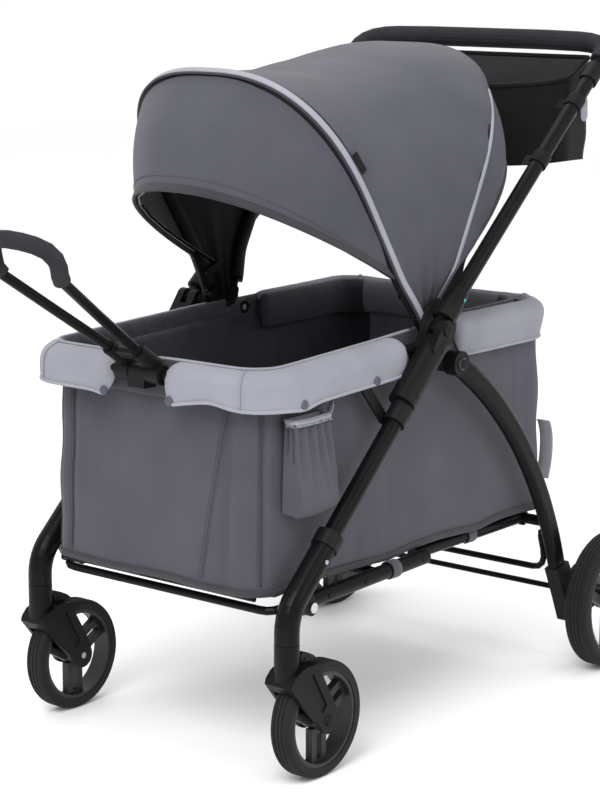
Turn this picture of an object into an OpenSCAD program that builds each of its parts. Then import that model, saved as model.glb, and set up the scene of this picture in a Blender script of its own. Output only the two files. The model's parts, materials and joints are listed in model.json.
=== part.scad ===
// Folding stroller wagon with a fabric tub, a canopy, a push handle behind and a pull handle in front.
// Front is -Y, the left-hand side is +X, and the wheels stand on Z = 0. All sizes are in millimetres.
// Left-hand pieces are modelled at +X. The right-hand ones are mirrored from them.

/* [Front wheels and casters] */
// Radius of a front wheel
front_wheel_r = 90; // [84:1:92]
// Width of a front wheel
front_wheel_w = 35; // [30:1:35]
// Distance from the swivel axis back to the front wheel's axle
caster_trail = 69; // [60:1:75]

/* [Rear wheels] */
// Radius of a rear wheel
rear_wheel_r = 117; // [105:1:120]
// Width of a rear wheel
rear_wheel_w = 44; // [36:1:44]
// Distance from the middle of the wagon to the middle of a rear wheel
rear_wheel_x = 305; // [305:1:312]
// Position of the rear axle along the wagon
rear_axle_y = 521; // [515:1:530]

/* [Frame] */
// Distance from the middle of the wagon to the plane of the legs
leg_x = 255; // [253:1:258]
// Position of the swivel axes along the wagon
stem_y = -299; // [-305:1:-295]
// Slope of the front legs above the horizontal, in degrees
leg_slope = 43.5; // [43:0.5:44]
// Radius of the lower, thicker part of a front leg
leg_r = 19; // [17:0.5:19]
// Radius of the upper, thinner part of a front leg
upper_leg_r = 14; // [12:0.5:14]
// Radius of the top rails that carry the tub
top_rail_r = 8; // [7:0.5:8]

/* [Push handle] */
// Slope of the push handle above the horizontal, in degrees
push_slope = 41; // [40:0.5:42]
// Radius of the push handle's side tubes
push_tube_r = 12.5; // [11:0.5:12.5]
// Height of the middle of the push bar
push_bar_z = 1065; // [1060:1:1070]
// Radius of the foam grip
grip_r = 17; // [15:0.5:18]

/* [Tub] */
// Half of the tub's outer width
tub_half_w = 216; // [205:1:216]
// Height of the tub's bottom edge
tub_bottom_z = 285; // [284:1:290]
// Length of the tub
tub_length = 756; // [740:1:760]

/* [Canopy] */
// Slope of the middle bow's plane, in degrees from straight back
main_bow_angle = 123; // [120:1:124]
// Slope of the rear bow's plane, in degrees from straight back
rear_bow_angle = 62; // [60:1:66]
// Height of each bow above the canopy's pivot, measured in the bow's own plane
bow_reach = 495; // [480:1:500]

/* [Pull handle] */
// Slope of the pull handle above the horizontal, in degrees
pull_slope = 34; // [30:1:36]
// Radius of the pull handle's tubes
pull_tube_r = 8; // [7.5:0.5:9]

/* [Hidden] */
$fn = 64;
gap = 0.3;
running = 0.05;
waist = 0.98;

// Half of the difference between the reach behind the leg frame's zero and the reach in front of it
centre_shift = -12.5;

// Wheels
front_axle_y = stem_y + caster_trail;
front_axle_r = 5;
rear_axle_r = 5;
front_rim_r = front_wheel_r - 16;
rear_rim_r = rear_wheel_r - 19;

// Front leg: a vertical stem, a bend and a long straight slope through the corner point
leg_corner = [stem_y, 267];
leg_dir = [cos(leg_slope), sin(leg_slope)];
leg_up = [-sin(leg_slope), cos(leg_slope)];
function on_leg(s, n = 0) = leg_corner + s * leg_dir + n * leg_up;
stem_bottom_z = 222;
leg_bend_r = 70;
leg_bend_run = leg_bend_r * tan((90 - leg_slope) / 2);
collar_s = 132;
leg_top_s = 480;
housing_s0 = 386;
housing_s1 = 508;
housing_r = 22;
housing_n = 7;

// Pivots, as [y, z]
push_pivot = [68, 641];
fold_pivot = [120, 580];
rail_pivot = [-238, 262];
rear_rail_pivot = [386, 271.5];
knee = [80, 270.2];
top_rail_pivot = [136, 622];
canopy_pivot = [97, 617];
visor_pivot = [72, 700];
pin_r = 5;

// Rear leg: one arc from its head down to its foot
rear_leg_w = 20;
rear_leg_depth = 36;
head_slope = 31;
foot_slope = 73.2;
leg_arc_r = 689;
leg_foot = fold_pivot + leg_arc_r * [sin(foot_slope) - sin(head_slope), cos(foot_slope) - cos(head_slope)];

// Lanes across the wagon, so that the folding pieces pass each other
front_rail_x = 228;
front_rail_r = 12;
rear_rail_x = 203.5;
rear_rail_r = 10.5;
hub_plate_x = 222;
hub_plate_t = 10;
lug_x = 232;

// Top rails and rim
front_rail_z = 600;
front_rail_y = -330;
top_rail_x = 232;
rear_top_rail_x = 204;
rim_corner_r = 60;

// Tub
tub_front_y = -313;
tub_rear_y = tub_front_y + tub_length;
tub_wall = 5;
liner_wall = 9;
tub_corner_r = 42;
tub_top_front = 584;
tub_top_rear = 602;

// Push handle
push_dir = [cos(push_slope), sin(push_slope)];
function on_push(d) = push_pivot + d * push_dir;
push_tube_len = 585;
push_bar_y = 560;

// Pull handle
pull_pivot = [front_rail_y, front_rail_z];
pull_axis_n = 12;
pull_dir = [-cos(pull_slope), sin(pull_slope)];
pull_up = [sin(pull_slope), cos(pull_slope)];
function on_pull(d, n = pull_axis_n) = pull_pivot + d * pull_dir + n * pull_up;

// ---------- helpers ----------

// Brings the middle of the wagon's whole length over the origin
module centred() {
    translate([0, centre_shift, 0]) children();
}

// Draws its children on the left for s = 1 and mirrored to the right for s = -1
module side(s) {
    if (s > 0) children();
    else mirror([1, 0, 0]) children();
}

// A round bar in a plane of constant x, from point a to point b, each as [y, z]
module rod(x, a, b, r) {
    d = b - a;
    translate([x, a[0], a[1]]) rotate([atan2(d[1], d[0]) - 90, 0, 0]) cylinder(r = r, h = norm(d));
}

// A round bar along X
module xrod(p, r, x0, x1) {
    translate([x0, p[0], p[1]]) rotate([0, 90, 0]) cylinder(r = r, h = x1 - x0);
}

// Stands a flat outline, drawn in y and z, up in a plane of constant x and thickens it from x0 to x1
module plate(x0, x1) {
    translate([x0, 0, 0]) rotate([90, 0, 90]) linear_extrude(x1 - x0) children();
}

// A bent bar in a plane of constant x: the outline turns round the centre c from angle a0 to a1
module bend(x, c, big_r, a0, a1) {
    translate([x, c[0], c[1]]) rotate([90, 0, 90]) rotate([0, 0, a0])
        rotate_extrude(angle = a1 - a0, $fn = 120) translate([big_r, 0]) children();
}

// A straight flat strip between two points, with round ends a little wider than its middle
module strip(a, b, r) {
    d = b - a;
    translate(a) circle(r = r);
    translate(b) circle(r = r);
    translate(a) rotate(atan2(d[1], d[0])) translate([0, -waist * r]) square([norm(d), 2 * waist * r]);
}

// Tangent of a route at point i
function heading(p, i) = let (d = p[min(i + 1, len(p) - 1)] - p[max(i - 1, 0)]) d / norm(d);

// A route drawn for the left half, carried on over to the right
function mirrored(half) = concat(half, [for (i = [len(half) - 1:-1:0]) [-half[i][0], half[i][1], half[i][2]]]);

// A round bar swept along a route of [x, y, z] points, as one closed solid. r is a radius or a list of them
module sweep(p, r, sides = 12, up = [0, 0, 1]) {
    rings = [for (i = [0:len(p) - 1])
        let (t = heading(p, i), u0 = cross(t, up), u = u0 / norm(u0), v = cross(u, t),
            ring_r = is_list(r) ? r[i] : r)
        for (k = [0:sides - 1]) p[i] + ring_r * cos(360 * k / sides) * u + ring_r * sin(360 * k / sides) * v];
    last = (len(p) - 1) * sides;
    walls = [for (i = [0:len(p) - 2], k = [0:sides - 1])
        let (a = i * sides + k, b = i * sides + (k + 1) % sides) [a, b, b + sides, a + sides]];
    polyhedron(rings, concat(walls, [[for (k = [sides - 1:-1:0]) k]], [[for (k = [0:sides - 1]) last + k]]));
}

// A thin closed solid between two grids of points, each a list of rows of the same length
module skin(outer, inner) {
    rows = len(outer);
    cols = len(outer[0]);
    points = concat([for (row = outer) each row], [for (row = inner) each row]);
    m = rows * cols;
    function at(i, j) = i * cols + j;
    faces_out = [for (i = [0:rows - 2], j = [0:cols - 2]) each
        [[at(i, j), at(i, j + 1), at(i + 1, j + 1)], [at(i, j), at(i + 1, j + 1), at(i + 1, j)]]];
    faces_in = [for (f = faces_out) [f[2] + m, f[1] + m, f[0] + m]];
    edge = concat([for (j = [0:cols - 2]) [at(0, j + 1), at(0, j)]],
        [for (i = [0:rows - 2]) [at(i, 0), at(i + 1, 0)]],
        [for (j = [0:cols - 2]) [at(rows - 1, j), at(rows - 1, j + 1)]],
        [for (i = [0:rows - 2]) [at(i + 1, cols - 1), at(i, cols - 1)]]);
    faces_edge = [for (e = edge) each [[e[0], e[1], e[1] + m], [e[0], e[1] + m, e[0] + m]]];
    polyhedron(points, concat(faces_out, faces_in, faces_edge));
}

// A closed solid through a list of rings with the same number of points, capped at both ends
module loft(rings) {
    n = len(rings[0]);
    last = (len(rings) - 1) * n;
    walls = [for (i = [0:len(rings) - 2], k = [0:n - 1]) let (a = i * n + k, b = i * n + (k + 1) % n)
        each [[a, b, b + n], [a, b + n, a + n]]];
    polyhedron([for (ring = rings) each ring],
        concat(walls, [[for (k = [n - 1:-1:0]) k]], [[for (k = [0:n - 1]) last + k]]));
}

// ---------- front frame ----------

module front_leg(s) {
    c = leg_corner + [leg_bend_r, -leg_bend_run];
    path = concat([[stem_y, stem_bottom_z]],
        [for (a = [180:-46.5 / 6:133]) c + leg_bend_r * [cos(a), sin(a)]],
        [on_leg(collar_s), on_leg(collar_s), on_leg(leg_top_s)]);
    last = len(path) - 1;
    color("#1c1c1e") centred() side(s) difference() {
        sweep([for (q = path) [leg_x, q[0], q[1]]],
            [for (i = [0:last]) i < last - 1 ? leg_r : upper_leg_r], 32, [1, 0, 0]);
        translate([leg_x, stem_y, stem_bottom_z - 1]) cylinder(r = 6 + running, h = 14);
    }
}

// Lugs under the front legs that the lower rails turn on
module rail_lugs() {
    color("#1c1c1e") centred() for (s = [1, -1]) side(s) difference() {
        plate(242, 254) strip(rail_pivot, on_leg(50), 13);
        xrod(rail_pivot, pin_r, 241, 255);
    }
}

module leg_collars() {
    color("#161617") centred() for (s = [1, -1]) side(s) difference() {
        rod(leg_x, on_leg(collar_s - 14), on_leg(collar_s + 10), leg_r + 2.5);
        rod(leg_x, on_leg(collar_s - 20), on_leg(collar_s), leg_r);
        rod(leg_x, on_leg(collar_s - 1), on_leg(collar_s + 20), upper_leg_r);
    }
}

module hinge_housing(s) {
    color("#131314") centred() side(s) difference() {
        union() {
            rod(leg_x, on_leg(housing_s0, housing_n), on_leg(housing_s1, housing_n), housing_r);
            plate(235, 275) strip(on_leg(housing_s1 - 18, housing_n + 6), push_pivot, 15);
            plate(lug_x, 244) strip(fold_pivot, on_leg(housing_s1 - 34, housing_n), 14);
        }
        rod(leg_x, on_leg(housing_s0 - 5), on_leg(leg_top_s), upper_leg_r);
        plate(leg_x - 6.5, leg_x + 6.5) translate(push_pivot) circle(r = 24);
        xrod(push_pivot, pin_r, 230, 280);
        xrod(fold_pivot, pin_r, 230, 246);
    }
}

module hub_plate(s) {
    color("#101011") centred() side(s) difference() {
        plate(hub_plate_x, hub_plate_x + hub_plate_t) union() {
            translate([108, 638]) circle(r = 43);
            strip([100, 610], fold_pivot, 16);
        }
        xrod(fold_pivot, pin_r, 220, 233);
        xrod(top_rail_pivot, pin_r, 220, 233);
        xrod(canopy_pivot, pin_r, 220, 233);
    }
}

// Bolts that the rear legs, the lower rails, the push handle, the canopy and the rear top rail turn on
module frame_pivot_pins() {
    color("#4a4b4d") centred() for (s = [1, -1]) side(s) {
        xrod(fold_pivot, pin_r, hub_plate_x, 267);
        xrod(fold_pivot, 9, 266.5, 270);
        xrod(rail_pivot, pin_r, 217, 256);
        xrod(rail_pivot, 8, 254, 258);
        xrod(push_pivot, pin_r, 234, 276);
        xrod(top_rail_pivot, pin_r, 195, 232);
        xrod(canopy_pivot, pin_r, 197, 232);
    }
}

// The fixed half of the rim: a hoop from one hub plate round the front to the other
module front_top_rail() {
    corner = [top_rail_x - rim_corner_r, front_rail_y + rim_corner_r];
    color("#1c1c1e") centred() {
        for (s = [1, -1]) side(s) {
            rod(top_rail_x, [38, front_rail_z + 13], [corner[1], front_rail_z], top_rail_r);
            translate([top_rail_x, corner[1], front_rail_z]) sphere(r = top_rail_r);
            translate([corner[0], corner[1], front_rail_z]) rotate([0, 0, -90])
                rotate_extrude(angle = 90) translate([rim_corner_r, 0]) circle(r = top_rail_r);
        }
        xrod([front_rail_y, front_rail_z], top_rail_r, -corner[0], corner[0]);
    }
}

// Flat bars that hold the rim up from the front legs, each with its clamp on the leg
module brace_bars() {
    foot = [-48, 516];
    head = [-112, 590];
    color("#161617") centred() for (s = [1, -1]) side(s) difference() {
        union() {
            plate(236, 240.8) strip(foot, head, 9);
            rod(leg_x, on_leg(housing_s0 - 34), on_leg(housing_s0 - 1), upper_leg_r + 4);
        }
        rod(leg_x, on_leg(housing_s0 - 60), on_leg(housing_s0 + 20), upper_leg_r);
    }
}

// Low bars across the front: a stay between the legs, and a thin rod in the tub's hem
module front_cross_bars() {
    half = [[238, -262, 262], [226, -262, 262], [219, -266, 261], [212, -276, 258.5], [203, -282, 257.3],
        [190, -284, 257]];
    color("#1c1c1e") centred() {
        sweep(mirrored(half), 6.5, 12, [0, 0.3, 1]);
        xrod([-302, 278], 4, -196, 196);
    }
}

module handle_bracket() {
    color("#161617") centred() difference() {
        union() {
            xrod([front_rail_y, front_rail_z], 13, -16.5, 16.5);
            translate([-16.5, -343, 578]) cube([33, 26, 22]);
        }
        xrod([front_rail_y, front_rail_z], top_rail_r, -30, 30);
    }
}

// ---------- casters and front wheels ----------

module caster_fork(s) {
    axle = [front_axle_y, front_wheel_r];
    clear_r = front_wheel_r + 6;
    color("#1a1a1c") centred() side(s) difference() {
        union() {
            translate([leg_x, stem_y, 166]) cylinder(r = leg_r, h = stem_bottom_z - 1 - 166);
            translate([leg_x, stem_y, 205]) cylinder(r = 6, h = 29);
            difference() {
                plate(229, 281) polygon([[-319, 160], [-316, 168], [-306, 178], [-286, 186], [-258, 186],
                    [-244, 176], [-260, 150], [-292, 128]]);
                plate(236.2, 273.8) translate(axle) circle(r = clear_r, $fn = 96);
            }
            for (x = [229, 274]) plate(x, x + 7) union() {
                polygon([[-319, 160], [-316, 168], [-306, 178], [-286, 186], [-258, 186], [-211, 104],
                    [-219, 74], [-241, 74], [-262, 98], [-292, 127]]);
                translate(axle) circle(r = 20);
            }
        }
        plate(236.2, 273.8) translate(axle) circle(r = clear_r, $fn = 96);
        xrod(axle, front_axle_r, 225, 285);
        plate(279, 282) polygon([[-292, 168], [-268, 172], [-236, 116], [-246, 106]]);
        plate(228, 231) polygon([[-292, 168], [-268, 172], [-236, 116], [-246, 106]]);
    }
}

module front_axle(s) {
    color("#6b6c6e") centred() side(s) {
        xrod([front_axle_y, front_wheel_r], front_axle_r, 228, 281);
        xrod([front_axle_y, front_wheel_r], 8, 281, 282.4);
    }
}

module swivel_lock(s) {
    color("#101011") centred() side(s) difference() {
        plate(246, 264) polygon([[-277, 187], [-278, 199], [-272, 204], [-262, 201], [-248, 194], [-240, 187.5],
            [-243, 186.5]]);
        xrod([-268, 193], 2 + running, 240, 270);
    }
}

// A tyre with rounded shoulders and three shallow grooves
module tyre(x, p, outer_r, rim_r, w) {
    shoulder = min(9, (outer_r - rim_r) / 2 - 0.5);
    translate([x, p[0], p[1]]) rotate([0, 90, 0]) rotate_extrude($fn = 120) difference() {
        union() {
            translate([rim_r, -w / 2 + shoulder]) square([outer_r - rim_r, w - 2 * shoulder]);
            translate([rim_r, -w / 2]) square([outer_r - rim_r - shoulder, w]);
            for (v = [-1, 1]) translate([outer_r - shoulder, v * (w / 2 - shoulder)]) circle(r = shoulder);
        }
        for (v = [-1, 0, 1]) translate([outer_r, v * 7]) circle(r = 1.6);
    }
}

// A wheel centre: a rim, a hub with its bore, and three wide spokes, each with a long slot
module wheel_centre(x, p, rim_r, w, hub_r, bore_r) {
    spoke_w = rim_r * 0.46;
    slot_w = spoke_w * 0.34;
    translate([x, p[0], p[1]]) rotate([0, 90, 0]) difference() {
        union() {
            difference() {
                translate([0, 0, -w / 2 + 2]) cylinder(r = rim_r, h = w - 4, $fn = 120);
                translate([0, 0, -w / 2]) cylinder(r = rim_r - 6, h = w, $fn = 120);
            }
            translate([0, 0, -w / 2]) cylinder(r = hub_r, h = w);
            for (a = [0, 120, 240]) rotate(a) difference() {
                translate([hub_r - 3, -spoke_w / 2, -6]) cube([rim_r - hub_r - 1, spoke_w, 12]);
                translate([hub_r + 6, -slot_w / 2, -8]) cube([rim_r - hub_r - 17, slot_w, 16]);
            }
        }
        translate([0, 0, -w]) cylinder(r = bore_r, h = 2 * w);
    }
}

module front_tyre(s) {
    color("#232325") centred() side(s)
        tyre(leg_x, [front_axle_y, front_wheel_r], front_wheel_r, front_rim_r, front_wheel_w);
}

module front_hub(s) {
    color("#3a3b3d") centred() side(s)
        wheel_centre(leg_x, [front_axle_y, front_wheel_r], front_rim_r, front_wheel_w, 17,
            front_axle_r + running);
}

// ---------- rear legs and rear wheels ----------

module leg_profile() {
    half = rear_leg_depth / 2 - rear_leg_w / 2;
    translate([-half, -rear_leg_w / 2]) square([2 * half, rear_leg_w]);
    for (v = [-half, half]) translate([v, 0]) circle(r = rear_leg_w / 2);
}

module rear_leg(s) {
    color("#1c1c1e") centred() side(s) difference() {
        union() {
            xrod(fold_pivot, 20, leg_x - 11, leg_x + 11);
            bend(leg_x, fold_pivot - leg_arc_r * [sin(head_slope), cos(head_slope)], leg_arc_r,
                90 - foot_slope, 90 - head_slope) leg_profile();
            xrod(rear_rail_pivot, 9, rear_rail_x + rear_rail_r + 0.5, leg_x);
            xrod(rear_rail_pivot, pin_r, rear_rail_x - rear_rail_r, leg_x);
        }
        xrod(fold_pivot, pin_r + running, 240, 270);
    }
}

// Plastic feet that join the legs to the axle
module rear_axle_brackets() {
    across = rear_leg_depth / 2 * [sin(foot_slope), cos(foot_slope)];
    foot = leg_foot + 0.2 * [cos(foot_slope), -sin(foot_slope)];
    color("#131314") centred() for (s = [1, -1]) side(s) difference() {
        plate(leg_x - 13, leg_x + 13) union() {
            polygon([foot - across, foot + across, [470, 146], [500, 141], [rear_axle_y, 141],
                [rear_axle_y, 93], [480, 74], [452, 84], [432, 130]]);
            translate([rear_axle_y, rear_wheel_r]) circle(r = 24);
        }
        xrod([rear_axle_y, rear_wheel_r], rear_axle_r, 230, 280);
    }
}

module rear_axle() {
    color("#2a2b2d") centred() {
        xrod([rear_axle_y, rear_wheel_r], rear_axle_r, -rear_wheel_x - 20, rear_wheel_x + 20);
        for (s = [1, -1]) side(s) xrod([rear_axle_y, rear_wheel_r], 10, leg_x + 13, rear_wheel_x - 23);
    }
}

// Low hoop between the rear legs, bent up along their inner faces
module rear_cross_bar() {
    half = [[245, 400, 252], [237, 402, 248], [234.5, 406, 238], [234, 415, 214], [232, 420, 199],
        [226, 425, 187], [217, 427, 179.5], [205, 428, 177]];
    color("#1c1c1e") centred() sweep(mirrored(half), 5.5, 12, [0, 1, 0.3]);
}

// Foot pedal on the axle, on the left-hand side
module brake_pedal() {
    axle = [rear_axle_y, rear_wheel_r];
    color("#101011") centred() difference() {
        union() {
            xrod(axle, 13, 205, 240);
            plate(205, 240) polygon([[521, 105], [521, 129], [560, 152], [586, 150], [586, 142], [562, 138]]);
        }
        xrod(axle, rear_axle_r + running, 200, 250);
    }
}

module rear_tyre(s) {
    color("#232325") centred() side(s)
        tyre(rear_wheel_x, [rear_axle_y, rear_wheel_r], rear_wheel_r, rear_rim_r, rear_wheel_w);
}

module rear_hub(s) {
    color("#3a3b3d") centred() side(s)
        wheel_centre(rear_wheel_x, [rear_axle_y, rear_wheel_r], rear_rim_r, rear_wheel_w, 20,
            rear_axle_r + running);
}

// ---------- rails that fold ----------

function rail_point(d) = rail_pivot + d * (knee - rail_pivot) / norm(knee - rail_pivot);
function rear_rail_point(d) = rear_rail_pivot + d * (knee - rear_rail_pivot) / norm(knee - rear_rail_pivot);

module lower_rail_front() {
    color("#1c1c1e") centred() difference() {
        union() {
            for (s = [1, -1]) side(s) {
                rod(front_rail_x, rail_pivot, knee, front_rail_r);
                xrod(rail_pivot, front_rail_r + 2.5, front_rail_x - 11, front_rail_x + 11);
            }
            xrod(rail_point(200), 8, -front_rail_x, front_rail_x);
        }
        for (s = [1, -1]) side(s) xrod(rail_pivot, pin_r + running, 210, 245);
    }
}

module lower_rail_rear() {
    color("#1c1c1e") centred() difference() {
        union() {
            for (s = [1, -1]) side(s) {
                rod(rear_rail_x, rear_rail_pivot, knee, rear_rail_r);
                xrod(rear_rail_pivot, rear_rail_r + 2.5, rear_rail_x - 9.5, rear_rail_x + 9.5);
            }
            xrod(rear_rail_point(150), 7, -rear_rail_x, rear_rail_x);
        }
        for (s = [1, -1]) side(s) xrod(rear_rail_pivot, pin_r + running, 190, 220);
    }
}

// The folding half of the rim: a hoop from the hub plates round the back
module rear_top_rail() {
    back_y = tub_rear_y - 14;
    corner_r = 50;
    corner = [rear_top_rail_x - corner_r, back_y - corner_r];
    color("#1c1c1e") centred() difference() {
        union() {
            for (s = [1, -1]) side(s) {
                rod(rear_top_rail_x, top_rail_pivot, [corner[1], top_rail_pivot[1]], top_rail_r);
                xrod(top_rail_pivot, 11, rear_top_rail_x - 9, rear_top_rail_x + 9);
                translate([corner[0], corner[1], top_rail_pivot[1]])
                    rotate_extrude(angle = 90) translate([corner_r, 0]) circle(r = top_rail_r);
            }
            xrod([back_y, top_rail_pivot[1]], top_rail_r, -corner[0], corner[0]);
        }
        for (s = [1, -1]) side(s) xrod(top_rail_pivot, pin_r + running, 190, 225);
    }
}

// ---------- push handle ----------

module push_tube(s) {
    color("#1c1c1e") centred() side(s) difference() {
        union() {
            plate(leg_x - 5.8, leg_x + 5.8) strip(push_pivot, on_push(36), 9.5);
            rod(leg_x, on_push(22), on_push(push_tube_len), push_tube_r);
        }
        xrod(push_pivot, pin_r + running, 240, 270);
    }
}

// Route of the push bar from the left tube's end over to the right: up, round a bend, and across
tube_end = on_push(push_tube_len);
half_route = [[leg_x, tube_end[0], tube_end[1]],
    [leg_x + 1, tube_end[0] + 9, tube_end[1] + 10],
    [leg_x, push_bar_y - 30, push_bar_z - 20],
    [leg_x - 6, push_bar_y - 19, push_bar_z - 12],
    [leg_x - 19, push_bar_y - 11, push_bar_z - 6],
    [leg_x - 40, push_bar_y - 6, push_bar_z - 2.5],
    [leg_x - 65, push_bar_y - 3, push_bar_z - 1],
    [leg_x - 135, push_bar_y - 0.5, push_bar_z],
    [0, push_bar_y, push_bar_z]];
bar_route = concat(half_route,
    [for (i = [len(half_route) - 2:-1:0]) [-half_route[i][0], half_route[i][1], half_route[i][2]]]);

module push_bar() {
    color("#1c1c1e") centred() sweep(bar_route, 11, 16, [0, 1, 0]);
}

module push_grip() {
    color("#29282b") centred() difference() {
        sweep([for (i = [1:len(bar_route) - 2]) bar_route[i]], grip_r, 16, [0, 1, 0]);
        sweep(bar_route, 11, 16, [0, 1, 0]);
    }
}

module grip_ferrules() {
    color("#0e0e0f") centred() for (s = [1, -1]) side(s) difference() {
        rod(leg_x, on_push(push_tube_len - 34), on_push(push_tube_len), push_tube_r + 3);
        rod(leg_x, on_push(push_tube_len - 40), on_push(push_tube_len + 5), push_tube_r);
    }
}

// Collars on the push handle that slide up to free its hinges
module release_sleeve(s) {
    start = on_push(20);
    color("#131314") centred() side(s) difference() {
        translate([leg_x, start[0], start[1]]) rotate([push_slope - 90, 0, 0]) union() {
            cylinder(r = 18.5, h = 22);
            translate([0, 0, 22]) cylinder(r1 = 18.5, r2 = 15, h = 34);
        }
        rod(leg_x, on_push(10), on_push(90), push_tube_r + running);
    }
}

// Fabric organiser that hangs between the push handle's tubes
module organiser() {
    w = 224;
    y0 = 462;
    y1 = 550;
    z0 = 855;
    z1 = 985;
    back_z = 1038;
    wall = 5;
    color("#242428") centred() {
        difference() {
            translate([-w, y0, z0]) cube([2 * w, y1 - y0, z1 - z0]);
            for (x = [-w + wall, 3]) translate([x, y0 + wall, z0 + wall])
                cube([w - wall - 3, y1 - y0 - 2 * wall, z1 - z0]);
        }
        translate([-w, y1 - wall, z1]) cube([2 * w, wall, back_z - z1]);
    }
}

// ---------- pull handle ----------

module pull_yoke() {
    color("#161617") centred() difference() {
        union() {
            for (s = [1, -1]) side(s) {
                xrod(pull_pivot, 15, 17, 44);
                rod(29, on_pull(8), on_pull(54), 12);
            }
            plate(-18, 18) strip(on_pull(31), on_pull(46), 6);
        }
        for (s = [1, -1]) side(s) {
            xrod(pull_pivot, top_rail_r + running, 10, 50);
            rod(29, on_pull(29.5), on_pull(60), pull_tube_r);
        }
    }
}

// Route of one side of the pull handle: out along the slope, spreading, then up into the arch
arch_x = [29, 29.2, 44, 60, 63, 64, 62, 54, 40, 22];
arch_d = [30, 62, 170, 278, 289, 298, 308, 321, 334, 344];
arch_n = [12, 12, 12, 13, 17, 25, 32, 37, 38, 37];
half_arch = [for (i = [0:len(arch_x) - 1]) let (q = on_pull(arch_d[i], arch_n[i])) [arch_x[i], q[0], q[1]]];
arch_top = on_pull(349, 36);
pull_route = concat(half_arch, [[0, arch_top[0], arch_top[1]]],
    [for (i = [len(half_arch) - 1:-1:0]) [-half_arch[i][0], half_arch[i][1], half_arch[i][2]]]);
grip_start = 3;

module pull_frame() {
    color("#1c1c1e") centred() sweep(pull_route, pull_tube_r - 0.2, 16, [0, pull_up[0], pull_up[1]]);
}

module pull_grip() {
    grip_route = [for (i = [grip_start:len(pull_route) - 1 - grip_start]) pull_route[i]];
    color("#29282b") centred() difference() {
        sweep(grip_route, 12.8, 16, [0, pull_up[0], pull_up[1]]);
        sweep(pull_route, pull_tube_r - 0.2, 16, [0, pull_up[0], pull_up[1]]);
    }
}

// ---------- canopy ----------

// Half-width of a bow at distance d from the pivot, where the bow is as wide as w and reaches as far as bow_reach
function bow_x(d, w, foot_x, reach = bow_reach) =
    d < 50 ? foot_x :
    d < 130 ? foot_x + (w - foot_x) * (1 - cos(180 * (d - 50) / 80)) / 2 :
    d < 250 ? w :
    w * pow(max(0, 1 - pow((d - 250) / (reach - 250), 2.7)), 1 / 2.7);
bow_steps = [0, 30, 50, 70, 90, 110, 130, 190, 250, 300, 345, 385, 415, 440, 460, 475, 486, 492];
function in_plane(angle, d, pivot = canopy_pivot) = pivot + d * [cos(angle), sin(angle)];
function bow_route(angle, w, foot_x, from, extra = 0, reach = bow_reach) =
    let (half = [for (d = bow_steps) if (d >= from)
            let (k = d / bow_reach, e = d + extra * pow(k, 3),
                q = in_plane(angle, e * reach / bow_reach))
            [bow_x(d, w, foot_x) + extra * (1 - pow(k, 3)), q[0], q[1]]],
        top = in_plane(angle, reach + extra))
    concat(half, [[0, top[0], top[1]]],
        [for (i = [len(half) - 1:-1:0]) [-half[i][0], half[i][1], half[i][2]]]);

main_bow_w = 206;
rear_bow_w = 218;
main_foot_x = 214.5;
rear_foot_x = 203;
bow_r = 4.5;
fabric_t = 3;
cloth_gap = 7.5;

module canopy_main_bow() {
    color("#1a1a1c") centred() {
        sweep(bow_route(main_bow_angle, main_bow_w, main_foot_x, 30), bow_r, 10,
            [0, -sin(main_bow_angle), cos(main_bow_angle)]);
        for (s = [1, -1]) side(s) {
            difference() {
                plate(main_foot_x - 5, main_foot_x + 5) strip(canopy_pivot, in_plane(main_bow_angle, 40), 9);
                xrod(canopy_pivot, pin_r + running, 200, 230);
            }
            plate(197, 209) strip(visor_pivot, in_plane(main_bow_angle, 88), 7);
        }
    }
}

module canopy_rear_bow() {
    color("#1a1a1c") centred() {
        sweep(bow_route(rear_bow_angle, rear_bow_w, rear_foot_x, 30), bow_r, 10,
            [0, -sin(rear_bow_angle), cos(rear_bow_angle)]);
        for (s = [1, -1]) side(s) difference() {
            plate(rear_foot_x - 5, rear_foot_x + 5) strip(canopy_pivot, in_plane(rear_bow_angle, 40), 9);
            xrod(canopy_pivot, pin_r, 195, 230);
        }
    }
}

visor_w = 193;
visor_angle = 153;
visor_reach = 366;
visor_turns = [2, 12, 24, 36, 48, 60, 72, 82, 90, 98, 108, 120, 132, 144, 156, 168, 178];
function visor_route(extra = 0) = [for (t = visor_turns)
    let (q = in_plane(visor_angle, (visor_reach + extra) * pow(sin(t), 0.85), visor_pivot))
        [(visor_w + extra) * sign(cos(t)) * pow(abs(cos(t)), 0.85), q[0], q[1]]];

module canopy_visor_wire() {
    color("#1a1a1c") centred() sweep(visor_route(), 3.5, 10, [0, -sin(visor_angle), cos(visor_angle)]);
}

// Rows of points from one bow to another, raised between them so that the cloth is crowned
function mix(a, b, t, lift) = [for (i = [0:len(a) - 1])
    let (p = (1 - t) * a[i] + t * b[i], out = [p[0] / 3, p[1] - canopy_pivot[0], p[2] - canopy_pivot[1]],
        k = lift * sin(180 * t) * min(1, norm([out[1], out[2]]) / 300))
    p + k * out / norm(out)];

module canopy_roof() {
    function route(angle, w, foot_x, e) = bow_route(angle, w, foot_x, 90, e);
    function grid(e) = [for (t = [0:0.125:1])
        mix(route(main_bow_angle, main_bow_w, main_foot_x, e),
            route(rear_bow_angle, rear_bow_w, rear_foot_x, e), t, 4)];
    color("#62626b") centred() skin(grid(cloth_gap + fabric_t), grid(cloth_gap));
}

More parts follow.
